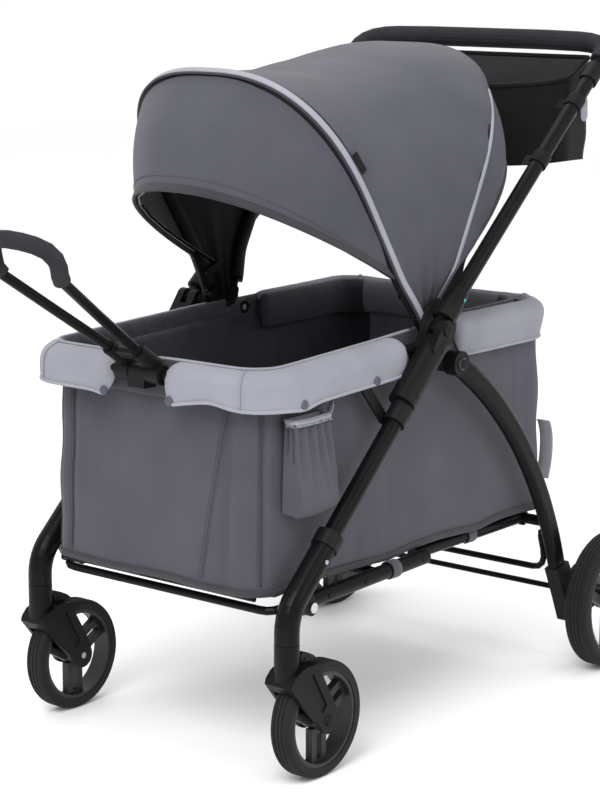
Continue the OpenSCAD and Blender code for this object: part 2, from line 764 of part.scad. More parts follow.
// Drop of cloth behind the rear bow
module canopy_rear_panel() {
    function row(e, t) = let (a = bow_route(rear_bow_angle - 1.6, rear_bow_w, rear_foot_x, 130, e))
        [for (p = a) let (h = (p[2] - canopy_pivot[1]) / bow_reach)
            [p[0] * (1 - 0.05 * t), p[1] + 4 + 52 * sin(90 * t) * h, p[2] - 190 * t * h * h]];
    color("#62626b") centred() skin([for (t = [1:-0.2:0]) row(cloth_gap + fabric_t, t)],
        [for (t = [1:-0.2:0]) row(cloth_gap, t)]);
}

// Peak of cloth from the main bow forward to the visor wire
module canopy_visor() {
    function edge(e) = [for (i = [0:24]) let (t = 8 + 164 * i / 24,
        q = in_plane(visor_angle, (visor_reach + e) * pow(sin(t), 0.85), visor_pivot))
        [(visor_w + e) * sign(cos(t)) * pow(abs(cos(t)), 0.85), q[0], q[1]]];
    function top(e) = [for (i = [0:24]) let (t = 12 + 156 * i / 24,
        d = 90 + (bow_reach - 104) * pow(sin(t), 0.9), q = in_plane(main_bow_angle + 2.2, d + e))
        [(main_bow_w - 6 + e) * sign(cos(t)) * pow(abs(cos(t)), 0.72), q[0], q[1]]];
    function grid(e) = [for (t = [0:0.2:1]) mix(edge(e), top(e), t, 16)];
    color("#62626b") centred() skin(grid(3.5 + gap + fabric_t), grid(3.5 + gap));
}

// ---------- tub ----------

// Rounded outline of the tub, pulled in by e from its outer face
module tub_outline(e) {
    r = tub_corner_r - e;
    x = tub_half_w - e;
    y0 = tub_front_y + e;
    y1 = tub_rear_y - e;
    translate([-x + r, y0]) square([2 * (x - r), y1 - y0]);
    translate([-x, y0 + r]) square([2 * x, y1 - y0 - 2 * r]);
    for (sx = [-1, 1], y = [y0 + r, y1 - r]) translate([sx * (x - r), y]) circle(r = r);
}

// Cuts the tub's upper edge to the slope of the rim
module above_rim(z_front, z_rear) {
    translate([-400, 0, 0]) rotate([90, 0, 90]) linear_extrude(800)
        polygon([[-500, z_front], [tub_front_y, z_front], [120, z_rear], [600, z_rear],
            [600, 900], [-500, 900]]);
}

module tub_shell() {
    color("#62626b") centred() difference() {
        translate([0, 0, tub_bottom_z]) linear_extrude(360) tub_outline(0);
        translate([0, 0, tub_bottom_z + 4]) linear_extrude(400) tub_outline(tub_wall);
        above_rim(tub_top_front, tub_top_rear);
    }
}

module tub_liner() {
    color("#2c2730") centred() difference() {
        translate([0, 0, tub_bottom_z + 4.5]) linear_extrude(350) tub_outline(tub_wall + 0.5);
        translate([0, 0, tub_bottom_z]) linear_extrude(400) tub_outline(tub_wall + liner_wall);
        above_rim(tub_top_front, tub_top_rear);
    }
}

module floor_mat() {
    color("#241f28") centred() translate([0, 0, tub_bottom_z + 4.5]) linear_extrude(9)
        tub_outline(tub_wall + liner_wall + 0.5);
}

// Padding on the rim: its radius, and the flap that hangs from it over the outside of the tub
pad_r = 15;
flap_drop = 24;
flap_t = 4;

// Ring of cloth that follows the tub from y0 to y1: from e0 outside its face in to e1, height h above z
module tub_ring(y0, y1, z, h, e0, e1) {
    intersection() {
        translate([0, 0, z]) linear_extrude(h) difference() {
            tub_outline(-e0);
            tub_outline(-e1);
        }
        translate([-400, y0, 0]) cube([800, y1 - y0, 1000]);
    }
}

// Padded rim round the front half, open in the middle for the pull handle's bracket
module rim_front() {
    half_gap = 52;
    end_y = -12;
    c = front_rail_y + rim_corner_r;
    half = concat([[top_rail_x, end_y, front_rail_z + 13.5]],
        [for (a = [0:15:90])
            [top_rail_x - rim_corner_r + rim_corner_r * cos(a), c - rim_corner_r * sin(a), front_rail_z]],
        [[half_gap + 4, front_rail_y, front_rail_z]]);
    color("#a4a6ae") centred() {
        for (s = [1, -1]) side(s) sweep(half, pad_r, 20);
        difference() {
            tub_ring(-400, end_y, front_rail_z - pad_r - gap - flap_drop, flap_drop, flap_t + 1, 0.3);
            translate([-half_gap - 2, -400, 500]) cube([2 * half_gap + 4, 100, 200]);
        }
    }
}

// Padded rim round the rear half
module rim_rear() {
    back_y = tub_rear_y - 14;
    corner_r = 50;
    start_y = 168;
    x = rear_top_rail_x;
    z = top_rail_pivot[1];
    color("#a4a6ae") centred() {
        for (s = [1, -1]) side(s) {
            rod(x, [start_y, z], [back_y - corner_r, z], pad_r);
            translate([x - corner_r, back_y - corner_r, z])
                rotate_extrude(angle = 90) translate([corner_r, 0]) circle(r = pad_r);
        }
        xrod([back_y, z], pad_r, corner_r - x, x - corner_r);
        tub_ring(start_y, 500, z - pad_r - gap - flap_drop, flap_drop, flap_t + 1, 0.3);
    }
}

// Elastic-topped pocket on the left-hand side
module side_pocket() {
    x = tub_half_w + gap;
    function ring(x0, x1, y0, y1, z) = [[x0, y0, z], [x0, y1, z], [x1, y1, z], [x1, y0, z]];
    color("#5d5d66") centred() difference() {
        loft([ring(x, x + 36, -266, -182, 404), ring(x, x + 24, -264, -170, 540)]);
        loft([ring(x + 4, x + 32, -262, -186, 409), ring(x + 4, x + 20, -260, -174, 545)]);
    }
}

front_leg(1);  // front_leg_left
front_leg(-1);  // front_leg_right
rail_lugs();
leg_collars();
hinge_housing(1);  // hinge_housing_left
hinge_housing(-1);  // hinge_housing_right
hub_plate(1);  // hub_plate_left
hub_plate(-1);  // hub_plate_right
frame_pivot_pins();
front_top_rail();
brace_bars();
front_cross_bars();
handle_bracket();
caster_fork(1);  // caster_fork_left
caster_fork(-1);  // caster_fork_right
front_axle(1);  // front_axle_left
front_axle(-1);  // front_axle_right
swivel_lock(1);  // swivel_lock_left
swivel_lock(-1);  // swivel_lock_right
front_tyre(1);  // front_tyre_left
front_tyre(-1);  // front_tyre_right
front_hub(1);  // front_hub_left
front_hub(-1);  // front_hub_right
rear_leg(1);  // rear_leg_left
rear_leg(-1);  // rear_leg_right
rear_axle_brackets();
rear_axle();
rear_cross_bar();
brake_pedal();
rear_tyre(1);  // rear_tyre_left
rear_tyre(-1);  // rear_tyre_right
rear_hub(1);  // rear_hub_left
rear_hub(-1);  // rear_hub_right
lower_rail_front();
lower_rail_rear();
rear_top_rail();
push_tube(1);  // push_tube_left
push_tube(-1);  // push_tube_right
push_bar();
push_grip();
grip_ferrules();
release_sleeve(1);  // release_sleeve_left
release_sleeve(-1);  // release_sleeve_right
organiser();
pull_yoke();
pull_frame();
pull_grip();
canopy_main_bow();
canopy_rear_bow();
canopy_visor_wire();
canopy_roof();
canopy_rear_panel();
canopy_visor();
tub_shell();
tub_liner();
floor_mat();
rim_front();
rim_rear();
side_pocket();
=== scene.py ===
# Looks of the folding stroller wagon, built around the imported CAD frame.
# Places and routes are in millimetres of the design, and P() turns them into metres of the frame.
# Sections, thicknesses and the sizes of small heads are in metres.
import json
import math

import bpy
import bmesh
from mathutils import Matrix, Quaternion, Vector, noise


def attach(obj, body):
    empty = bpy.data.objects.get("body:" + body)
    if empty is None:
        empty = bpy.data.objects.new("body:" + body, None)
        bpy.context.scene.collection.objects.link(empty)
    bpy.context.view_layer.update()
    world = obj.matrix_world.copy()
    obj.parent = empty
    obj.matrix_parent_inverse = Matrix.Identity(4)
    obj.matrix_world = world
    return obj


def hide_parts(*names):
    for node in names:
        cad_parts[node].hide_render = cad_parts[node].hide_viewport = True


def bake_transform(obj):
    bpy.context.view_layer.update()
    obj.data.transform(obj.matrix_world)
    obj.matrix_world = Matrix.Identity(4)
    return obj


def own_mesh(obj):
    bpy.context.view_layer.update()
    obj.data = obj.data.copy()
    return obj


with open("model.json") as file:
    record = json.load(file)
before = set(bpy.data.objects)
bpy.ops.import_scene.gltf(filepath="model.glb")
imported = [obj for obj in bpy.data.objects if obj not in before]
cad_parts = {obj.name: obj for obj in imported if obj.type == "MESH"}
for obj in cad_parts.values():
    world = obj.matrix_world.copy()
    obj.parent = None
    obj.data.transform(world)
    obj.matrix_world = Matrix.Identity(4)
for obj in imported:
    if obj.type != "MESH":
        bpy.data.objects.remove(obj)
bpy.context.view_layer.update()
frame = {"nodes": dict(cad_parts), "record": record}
SHIFT = -12.5                        # from the design's y to the frame's y
HANDLE_PIVOT = (68, 641)             # y and z of the push handle's pivot
HANDLE_TILT = math.radians(41)
LEG_FOOT = (-299, 267)               # y and z where the straight part of the front leg begins


def P(x, y, z):
    return Vector((x / 1000, (y + SHIFT) / 1000, z / 1000))


def sm(a, b, v):
    t = min(1.0, max(0.0, (v - a) / (b - a)))
    return t * t * (3 - 2 * t)


def bump(v, c, w):
    return math.exp(-((v - c) / w) ** 2)


def ns(x, y, z, s):
    return noise.noise(Vector((x * s, y * s, z * s)))


def mirrored(half):
    """A half route and its mirror image, joined at the middle point."""
    return half + [Vector((-p.x, p.y, p.z)) for p in reversed(half[:-1])]


def handle_point(d):
    """y and z on the push tube, d from its pivot."""
    return HANDLE_PIVOT[0] + d * math.cos(HANDLE_TILT), HANDLE_PIVOT[1] + d * math.sin(HANDLE_TILT)


def leg_point(d):
    """y and z on the front leg, d above its foot."""
    return LEG_FOOT[0] + d * 0.7254, LEG_FOOT[1] + d * 0.6884


# ---------------------------------------------------------------- materials
def new_mat(name, rough=0.6, metallic=0.0, sheen=0.0, spec=0.5):
    m = bpy.data.materials.new(name)
    m.use_nodes = True
    nt = m.node_tree
    b = nt.nodes["Principled BSDF"]
    b.inputs["Roughness"].default_value = rough
    b.inputs["Metallic"].default_value = metallic
    b.inputs["Specular IOR Level"].default_value = spec
    b.inputs["Sheen Weight"].default_value = sheen
    return m, nt, b


def node(nt, kind, **inputs):
    n = nt.nodes.new(kind)
    for k, v in inputs.items():
        key = k.replace("_", " ")
        if key in n.inputs:
            n.inputs[key].default_value = v
        else:
            setattr(n, k, v)
    return n


def ramp(nt, fac, stops):
    r = nt.nodes.new("ShaderNodeValToRGB")
    e = r.color_ramp.elements
    while len(e) < len(stops):
        e.new(0.5)
    for el, (pos, col) in zip(e, stops):
        el.position = pos
        el.color = (*col, 1) if len(col) == 3 else col
    nt.links.new(fac, r.inputs[0])
    return r


def math_node(nt, op, a, b=None):
    n = nt.nodes.new("ShaderNodeMath")
    n.operation = op
    for i, v in enumerate((a, b)):
        if v is None:
            continue
        if isinstance(v, (int, float)):
            n.inputs[i].default_value = v
        else:
            nt.links.new(v, n.inputs[i])
    return n.outputs[0]


def add_bump(nt, height, strength, distance, target):
    bp = node(nt, "ShaderNodeBump", Strength=strength, Distance=distance)
    nt.links.new(height, bp.inputs["Height"])
    nt.links.new(bp.outputs["Normal"], target)
    return bp


def uv_axes(nt):
    co = node(nt, "ShaderNodeTexCoord")
    sep = node(nt, "ShaderNodeSeparateXYZ")
    nt.links.new(co.outputs["UV"], sep.inputs[0])
    return co, sep.outputs[0], sep.outputs[1]


def wave(nt, along, pitch):
    return math_node(nt, "SINE", math_node(nt, "MULTIPLY", along, 2 * math.pi / pitch))


def hard(name, dark, light, rough, bump_scale, bump_depth, spec=0.5, metallic=0.0):
    """Moulded, painted or metal surface: fine grain, slow colour drift, paler edges from curvature."""
    m, nt, b = new_mat(name, rough, metallic, spec=spec)
    co = node(nt, "ShaderNodeTexCoord")
    n1 = node(nt, "ShaderNodeTexNoise", Scale=18.0, Detail=4.0)
    nt.links.new(co.outputs["Object"], n1.inputs["Vector"])
    r = ramp(nt, n1.outputs["Fac"], [(0.3, dark), (0.72, light)])
    geo = node(nt, "ShaderNodeNewGeometry")
    edge = ramp(nt, geo.outputs["Pointiness"], [(0.5, (0, 0, 0)), (0.62, (1, 1, 1))])
    wear = node(nt, "ShaderNodeMixRGB")
    wear.blend_type = "MIX"
    nt.links.new(math_node(nt, "MULTIPLY", edge.outputs["Color"], 0.35), wear.inputs[0])
    nt.links.new(r.outputs["Color"], wear.inputs[1])
    wear.inputs[2].default_value = (*[min(1, c * 2.1 + 0.003) for c in light], 1)
    nt.links.new(wear.outputs[0], b.inputs["Base Color"])
    n2 = node(nt, "ShaderNodeTexNoise", Scale=bump_scale, Detail=3.0)
    nt.links.new(co.outputs["Object"], n2.inputs["Vector"])
    rr = ramp(nt, n1.outputs["Fac"], [(0.25, (rough - 0.06,) * 3), (0.8, (rough + 0.08,) * 3)])
    nt.links.new(rr.outputs["Color"], b.inputs["Roughness"])
    add_bump(nt, n2.outputs["Fac"], 0.5, bump_depth, b.inputs["Normal"])
    return m


def cloth(name, dark, light, rough=0.85, sheen=0.25, weave=0.0012, weave_depth=0.00025, crinkle=0.0009,
          scale=38.0,
          spec=0.3):
    """Woven cloth: a plain weave on the mesh's measured UVs, heathered yarn, and soft creases."""
    m, nt, b = new_mat(name, rough, sheen=sheen, spec=spec)
    co, u, v = uv_axes(nt)
    w = math_node(nt, "MULTIPLY", wave(nt, u, weave), wave(nt, v, weave))
    yarn = node(nt, "ShaderNodeTexNoise", Scale=900.0, Detail=2.0)
    drift = node(nt, "ShaderNodeTexNoise", Scale=9.0, Detail=3.0)
    for n in (yarn, drift):
        nt.links.new(co.outputs["Object"], n.inputs["Vector"])
    f = math_node(nt, "ADD", math_node(nt, "MULTIPLY", yarn.outputs["Fac"], 0.45),
                  math_node(nt, "ADD", math_node(nt, "MULTIPLY", drift.outputs["Fac"], 0.5),
                            math_node(nt, "MULTIPLY", w, 0.08)))
    r = ramp(nt, f, [(0.28, dark), (0.66, light)])
    nt.links.new(r.outputs["Color"], b.inputs["Base Color"])
    crease = node(nt, "ShaderNodeTexNoise", Scale=scale, Detail=5.0, Roughness=0.55, Distortion=0.6)
    nt.links.new(co.outputs["Object"], crease.inputs["Vector"])
    weave_bump = add_bump(nt, w, 0.6, weave_depth, b.inputs["Normal"])
    add_bump(nt, crease.outputs["Fac"], 0.55, crinkle, weave_bump.inputs["Normal"])
    return m


def webbing(name, dark, light):
    """Ribbed webbing: ribs run along the strap's length."""
    m, nt, b = new_mat(name, 0.8, sheen=0.2, spec=0.3)
    _, u, v = uv_axes(nt)
    h = math_node(nt, "ADD", wave(nt, v, 0.0022), math_node(nt, "MULTIPLY", wave(nt, u, 0.0016), 0.5))
    r = ramp(nt, math_node(nt, "ADD", math_node(nt, "MULTIPLY", h, 0.3), 0.5), [(0.1, dark), (0.9, light)])
    nt.links.new(r.outputs["Color"], b.inputs["Base Color"])
    add_bump(nt, h, 0.7, 0.0004, b.inputs["Normal"])
    return m


def mesh_cloth(name):
    """Dark net: small holes between fine yarns."""
    m, nt, b = new_mat(name, 0.8, sheen=0.15, spec=0.25)
    co = node(nt, "ShaderNodeTexCoord")
    v = node(nt, "ShaderNodeTexVoronoi", Scale=420.0, Randomness=0.15)
    nt.links.new(co.outputs["UV"], v.inputs["Vector"])
    r = ramp(nt, v.outputs["Distance"], [(0.25, (0.006, 0.006, 0.007)), (0.5, (0.035, 0.035, 0.038))])
    nt.links.new(r.outputs["Color"], b.inputs["Base Color"])
    add_bump(nt, v.outputs["Distance"], 0.7, 0.0006, b.inputs["Normal"])
    return m


MAIN_D, MAIN_L = (0.041, 0.040, 0.053), (0.063, 0.062, 0.080)
M = {
    "frame": hard("satin_black_paint", (0.0022, 0.0022, 0.0024), (0.0045, 0.0045, 0.005), 0.26, 900, 0.00008,
                  0.085),
    "mould": hard("black_moulding", (0.0030, 0.0030, 0.0033), (0.0062, 0.0062, 0.0066), 0.4, 1500, 0.00012,
                  0.1),
    "steel": hard("zinc_steel", (0.25, 0.25, 0.26), (0.42, 0.42, 0.43), 0.35, 700, 0.00006, metallic=1.0),
    "wheel": hard("wheel_moulding", (0.009, 0.009, 0.0095), (0.018, 0.018, 0.019), 0.42, 1300, 0.0001, 0.28),
    "tyre": hard("foamed_tyre", (0.0055, 0.0053, 0.006), (0.011, 0.0105, 0.0115), 0.72, 1700, 0.0003, 0.22),
    "foam": hard("closed_cell_foam", (0.010, 0.009, 0.011), (0.020, 0.018, 0.022), 0.82, 1100, 0.0006, 0.2),
    "main": cloth("heather_grey_cloth", MAIN_D, MAIN_L, rough=0.68, sheen=0.1),
    "canopy": cloth("canopy_cloth", (0.041, 0.041, 0.054), (0.063, 0.063, 0.082), rough=0.62, sheen=0.1,
                    crinkle=0.0006, scale=22.0),
    "trim": cloth("light_grey_cloth", (0.200, 0.203, 0.236), (0.285, 0.288, 0.328), rough=0.7, sheen=0.08,
                  crinkle=0.0012),
    "piping": cloth("light_piping", (0.23, 0.235, 0.275), (0.33, 0.335, 0.38), rough=0.6, sheen=0.1,
                    weave=0.0009),
    "hem": cloth("dark_binding", (0.022, 0.020, 0.026), (0.038, 0.035, 0.043), rough=0.7, sheen=0.1,
                 weave=0.0009),
    "liner": cloth("dark_liner", (0.015, 0.0125, 0.020), (0.034, 0.029, 0.043), rough=0.55, sheen=0.15,
                   crinkle=0.0016),
    "liner_pale": cloth("pale_liner", (0.135, 0.137, 0.156), (0.205, 0.207, 0.232), rough=0.7, sheen=0.1,
                        crinkle=0.0014),
    "black": cloth("black_cloth", (0.0035, 0.0035, 0.004), (0.0085, 0.0080, 0.0095), rough=0.45, sheen=0.02,
                   spec=0.09),
    "web": webbing("grey_webbing", (0.028, 0.029, 0.035), (0.062, 0.064, 0.074)),
    "web_light": webbing("light_webbing", (0.20, 0.205, 0.235), (0.33, 0.34, 0.38)),
    "net": mesh_cloth("dark_net"),
    "snap": hard("snap_enamel", (0.035, 0.044, 0.062), (0.058, 0.070, 0.095), 0.35, 900, 0.00005, 0.4),
    "teal": hard("teal_mark", (0.0, 0.20, 0.21), (0.0, 0.28, 0.29), 0.45, 900, 0.00003),
    "thread": cloth("sewing_thread", (0.045, 0.04, 0.05), (0.085, 0.078, 0.095), rough=0.8, sheen=0.1,
                    weave=0.0006),
}


# ---------------------------------------------------------------- mesh builders
def link(ob):
    bpy.context.scene.collection.objects.link(ob)
    return ob


def finish_mesh(name, verts, faces, uvs, mats, face_mats=None):
    me = bpy.data.meshes.new(name)
    me.from_pydata([tuple(v) for v in verts], [], faces)
    uv = me.uv_layers.new(name="UVMap")
    for poly in me.polygons:
        for li in poly.loop_indices:
            uv.data[li].uv = uvs[me.loops[li].vertex_index]
        poly.use_smooth = True
    for m in (mats if isinstance(mats, (list, tuple)) else [mats]):
        me.materials.append(M[m])
    if face_mats:
        for poly, k in zip(me.polygons, face_mats):
            poly.material_index = k
    me.update()
    ob = bpy.data.objects.new(name, me)
    return link(ob)


def grid_uv(rows):
    """Measured UVs in metres: u along each row, v across the rows."""
    uv = []
    v_at = [0.0]
    mid = len(rows[0]) // 2
    for i in range(1, len(rows)):
        v_at.append(v_at[-1] + (rows[i][mid] - rows[i - 1][mid]).length)
    for i, row in enumerate(rows):
        u = 0.0
        for j, p in enumerate(row):
            if j:
                u += (p - row[j - 1]).length
            uv.append((u, v_at[i]))
    return uv


def skin(name, rows, mats, thick, inside=None, wrap=False, pick=None, offset=-1.0):
    """A sheet through rows of points, given a real thickness. wrap joins each row's ends."""
    n = len(rows[0])
    verts = [p for row in rows for p in row]
    faces, fm = [], []
    last = n if wrap else n - 1
    for i in range(len(rows) - 1):
        for j in range(last):
            k = (j + 1) % n
            faces.append((i * n + j, i * n + k, (i + 1) * n + k, (i + 1) * n + j))
            fm.append(pick(i, j) if pick else 0)
    ob = finish_mesh(name, verts, faces, grid_uv(rows), mats, face_mats=fm)
    s = ob.modifiers.new("thickness", "SOLIDIFY")
    s.thickness = thick
    s.offset = offset
    if inside is not None:
        ob.data.materials.append(M[inside])
        s.material_offset = len(ob.data.materials) - 1
        s.material_offset_rim = 0
    return apply(ob)


def apply(ob):
    bpy.context.view_layer.update()
    deps = bpy.context.evaluated_depsgraph_get()
    me = bpy.data.meshes.new_from_object(ob.evaluated_get(deps))
    old = ob.data
    ob.modifiers.clear()
    ob.data = me
    if old.users == 0:
        bpy.data.meshes.remove(old)
    return ob


def subdivide(ob):
    s = ob.modifiers.new("smooth", "SUBSURF")
    s.levels = s.render_levels = 1
    return apply(ob)


def catmull(pts, n, closed=False):
    """A smooth curve through the given points, resampled to n even steps."""
    pts = [Vector(p) for p in pts]
    dense = []
    m = len(pts)
    spans = m if closed else m - 1
    for i in range(spans):
        p1, p2 = pts[i % m], pts[(i + 1) % m]
        p0 = pts[(i - 1) % m] if closed or i else p1 * 2 - p2
        p3 = pts[(i + 2) % m] if closed or i + 2 < m else p2 * 2 - p1
        for s in range(24):
            t = s / 24
            dense.append(0.5 * ((2 * p1) + (p2 - p0) * t + (2 * p0 - 5 * p1 + 4 * p2 - p3) * t * t
                                + (3 * p1 - p0 - 3 * p2 + p3) * t ** 3))
    dense.append(pts[0].copy() if closed else pts[-1].copy())
    return even(dense, n)


def even(pts, n):
    d = [0.0]
    for a, b in zip(pts, pts[1:]):
        d.append(d[-1] + (b - a).length)
    out, k = [], 0
    for i in range(n):
        s = d[-1] * i / (n - 1)
        while k < len(d) - 2 and d[k + 1] < s:
            k += 1
        f = (s - d[k]) / max(1e-9, d[k + 1] - d[k])
        out.append(pts[k].lerp(pts[k + 1], f))
    return out


def frames(pts, up, closed=False):
    out = []
    n = len(pts)
    for i in range(n):
        a = pts[(i - 1) % n] if closed or i else pts[i]
        b = pts[(i + 1) % n] if closed or i < n - 1 else pts[i]
        t = (b - a).normalized()
        w = up[i] if isinstance(up, list) else Vector(up)
        side = t.cross(w)
        if side.length < 1e-6:
            side = t.orthogonal()
        side.normalize()
        out.append((t, side, side.cross(t).normalized()))
    return out


def sweep(name, pts, section, mat, up=(0, 0, 1), closed=False, caps=True, round_ends=0.0):
    """A closed outline carried along a route. section holds (side, up) pairs or is a function of the step."""
    fr = frames(pts, up, closed)
    rows = []
    n = len(pts)
    for i, (p, (t, s, u)) in enumerate(zip(pts, fr)):
        sec = section(i) if callable(section) else section
        k = 1.0
        if round_ends and not closed:
            run = min(d_end(pts, i), round_ends)
            k = math.sqrt(max(0.0, 1 - (1 - run / round_ends) ** 2)) if run < round_ends else 1.0
            k = max(k, 0.12)
        rows.append([p + s * a * k + u * b * k for a, b in sec])
    m = len(rows[0])
    verts = [v for r in rows for v in r]
    faces = []
    for i in range(n if closed else n - 1):
        a, b = i * m, ((i + 1) % n) * m
        for j in range(m):
            k = (j + 1) % m
            faces.append((a + j, b + j, b + k, a + k))
    if caps and not closed:
        faces.append(tuple(range(m)))
        faces.append(tuple(range((n - 1) * m + m - 1, (n - 1) * m - 1, -1)))
    uv, v = [], 0.0
    for i, r in enumerate(rows):
        if i:
            v += (pts[i] - pts[i - 1]).length
        u = 0.0
        for j, q in enumerate(r):
            if j:
                u += (q - r[j - 1]).length
            uv.append((v, u))
    return finish_mesh(name, verts, faces, uv, mat)


def d_end(pts, i):
    a = sum((pts[k + 1] - pts[k]).length for k in range(i))
    b = sum((pts[k + 1] - pts[k]).length for k in range(i, len(pts) - 1))
    return min(a, b)


def ring(rx, ry=None, n=10):
    ry = rx if ry is None else ry
    return [(rx * math.cos(2 * math.pi * k / n), ry * math.sin(2 * math.pi * k / n)) for k in range(n)]


def flat_section(w, t, n=4):
    """Rounded rectangle outline of a strap, w wide along the side direction and t thick."""
    r = t / 2
    out = []
    for cx, a0 in ((w / 2 - r, -90), (-w / 2 + r, 90)):
        for k in range(n + 1):
            a = math.radians(a0 + 180 * k / n)
            out.append((cx + r * math.cos(a), r * math.sin(a)))
    return out


def disc(name, centre, normal, r, h, mat, seg=24, dome=0.25):
    """A small turned head with a rolled edge and a slightly raised middle."""
    nrm = Vector(normal).normalized()
    s = nrm.orthogonal().normalized()
    u = nrm.cross(s)
    prof = [(r, 0), (r, h * 0.6), (r * 0.93, h * 0.9), (r * 0.8, h), (r * 0.62, h * 0.86),
            (r * 0.3, h * (0.9 + dome)),
            (0.02 * r, h * (1 + dome))]
    rows = [[centre + (s * math.cos(2 * math.pi * k / seg) + u * math.sin(2 * math.pi * k / seg)) * q
             + nrm * z for k in range(seg)] for q, z in prof]
    verts = [v for row in rows for v in row]
    faces = [(i * seg + j, i * seg + (j + 1) % seg, (i + 1) * seg + (j + 1) % seg, (i + 1) * seg + j)
             for i in range(len(rows) - 1) for j in range(seg)]
    faces.append(tuple(range(seg - 1, -1, -1)))
    faces.append(tuple((len(rows) - 1) * seg + j for j in range(seg)))
    uv = [(v.x, v.z) for v in verts]
    return finish_mesh(name, verts, faces, uv, mat)


def stitches(name, pts, up, mat="thread", pitch=0.0042, length=0.0027, r=0.00042):
    """A row of separate short thread loops along a seam, all in one mesh."""
    total = sum((b - a).length for a, b in zip(pts, pts[1:]))
    n = max(4, int(total / pitch))
    line = even(pts, n)
    ups = even([Vector(u) for u in up], n) if isinstance(up, list) else [Vector(up)] * n
    verts, faces, uv = [], [], []
    for i in range(n - 1):
        t = (line[i + 1] - line[i]).normalized()
        w = ups[i].normalized()
        s = t.cross(w).normalized()
        a = line[i]
        base = len(verts)
        for f, h in ((0.0, -0.5), (0.5, 1.0), (1.0, -0.5)):
            c = a + t * length * f + w * r * h
            for k in range(5):
                q = 2 * math.pi * k / 5
                verts.append(c + s * r * math.cos(q) + w * r * math.sin(q))
                uv.append((f * length, k * r))
        for g in range(2):
            for k in range(5):
                j = (k + 1) % 5
                faces.append((base + g * 5 + k, base + g * 5 + j, base + g * 5 + 5 + j, base + g * 5 + 5 + k))
    return finish_mesh(name, verts, faces, uv, mat)


def fit(ob, body):
    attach(ob, body)


# ---------------------------------------------------------------- CAD pieces: finishes
by_slot = {"frame_tube": "frame", "moulding": "mould", "pin_steel": "steel", "wheel_plastic": "wheel",
           "wheel_tyre": "tyre", "foam_grip": "foam", "canopy_cloth": "canopy", "tub_cloth": "main",
           "liner_cloth": "liner", "mat_cloth": "liner", "trim_cloth": "trim", "pocket_cloth": "main",
           "organiser_cloth": "black"}
for sub in frame["record"]["subparts"]:
    finishes = frame["nodes"][sub["node"]].data.materials
    finishes.clear()
    finishes.append(M[by_slot[sub["material_slot"]]])

# ---------------------------------------------------------------- canopy
C = (97.0, 617.0)                    # y and z of the bows' common centre
V = (72.0, 700.0)                    # y and z of the visor's centre
REACH = 495.0                        # of the bows
MAIN_BOW = (123, 206, 214.5)         # direction in degrees, half width, half width at the foot
REAR_BOW = (62, 218, 203)
VISOR_TILT = math.radians(153)


def bow_x(d, w, foot):
    if d < 50:
        return foot
    if d < 130:
        return foot + (w - foot) * (1 - math.cos(math.pi * (d - 50) / 80)) / 2
    if d < 250:
        return w
    return w * max(0.0, 1 - ((d - 250) / (REACH - 250)) ** 2.7) ** (1 / 2.7)


def bow(angle, w, foot, start, n, e=7.0):
    """Even steps along a bow, e outside its centreline, from the left foot over the top to the right foot."""
    half = []
    steps = [start + (REACH - start) * (1 - (1 - i / 160) ** 2.2) for i in range(161)]
    a = math.radians(angle)
    for d in steps:
        k = d / REACH
        q = d + e * k ** 3
        half.append(Vector((bow_x(min(d, REACH), w, foot) + e * (1 - k ** 3),
                            C[0] + q * math.cos(a), C[1] + q * math.sin(a))))
    return even(mirrored(half), n)


NU = 121
main_route = bow(*MAIN_BOW, 40, NU)
rear_route = bow(*REAR_BOW, 40, NU, e=7.5)


def lift(t):
    return -13 * bump(t, 0.33, 0.25) + 10 * sm(0.58, 0.82, t) * (1 - 0.5 * sm(0.9, 1.0, t))


def roof_point(t, j):
    a, b = main_route[j], rear_route[j]
    p = a.lerp(b, t)
    out = Vector((p.x / 3, p.y - C[0], p.z - C[1]))
    reach = math.hypot(out.y, out.z)
    out.normalize()
    high = min(1.0, reach / 430) ** 3
    side = 1 - high
    k = lift(t) * high
    # sides hollow slightly and gather into folds towards the foot
    near = sm(330, 90, reach)
    k += -7 * math.sin(math.pi * t) * side
    k += near * 3.2 * math.sin(t * 22 + reach * 0.012) * math.sin(math.pi * t)
    k += 1.6 * ns(p.x, p.y, p.z, 0.011) * math.sin(math.pi * t) ** 0.5
    # two soft draws of cloth across the top, behind the main bow
    k += high * 1.8 * math.sin(math.pi * t) * math.sin(p.x * 0.05 + 12 * t)
    # short creases drawn in towards the rear bow, on the sides
    k += 2.4 * bump(t, 0.9, 0.13) * sm(120, 200, abs(p.x)) * math.sin(reach * 0.085) * sm(150, 260, reach)
    outx = Vector((math.copysign(1, p.x) if abs(p.x) > 1 else 0, 0, 0))
    return p + out * k * (1 - 0.5 * side) + outx * k * 0.5 * side


roof_rows = [[P(*roof_point(1 - i / 44, j)) for j in range(NU)] for i in range(45)]
roof = skin("canopy_roof_cloth", roof_rows, "canopy", 0.0018, inside="black", offset=-1.0)
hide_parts("canopy_roof")

# visor
VW, VR = 199.0, 372.0
edge_route = []
for i in range(161):
    t = math.pi * (0.005 + 0.99 * i / 160)
    c = math.cos(t)
    d = VR * math.sin(t) ** 0.85
    edge_route.append(Vector((VW * math.copysign(abs(c) ** 0.85, c) + 9 * math.copysign(abs(c) ** 8, c),
                              V[0] + d * math.cos(VISOR_TILT), V[1] + d * math.sin(VISOR_TILT))))
edge_route = even(edge_route, NU)
visor_top = bow(*MAIN_BOW, 82, NU, e=6.5)


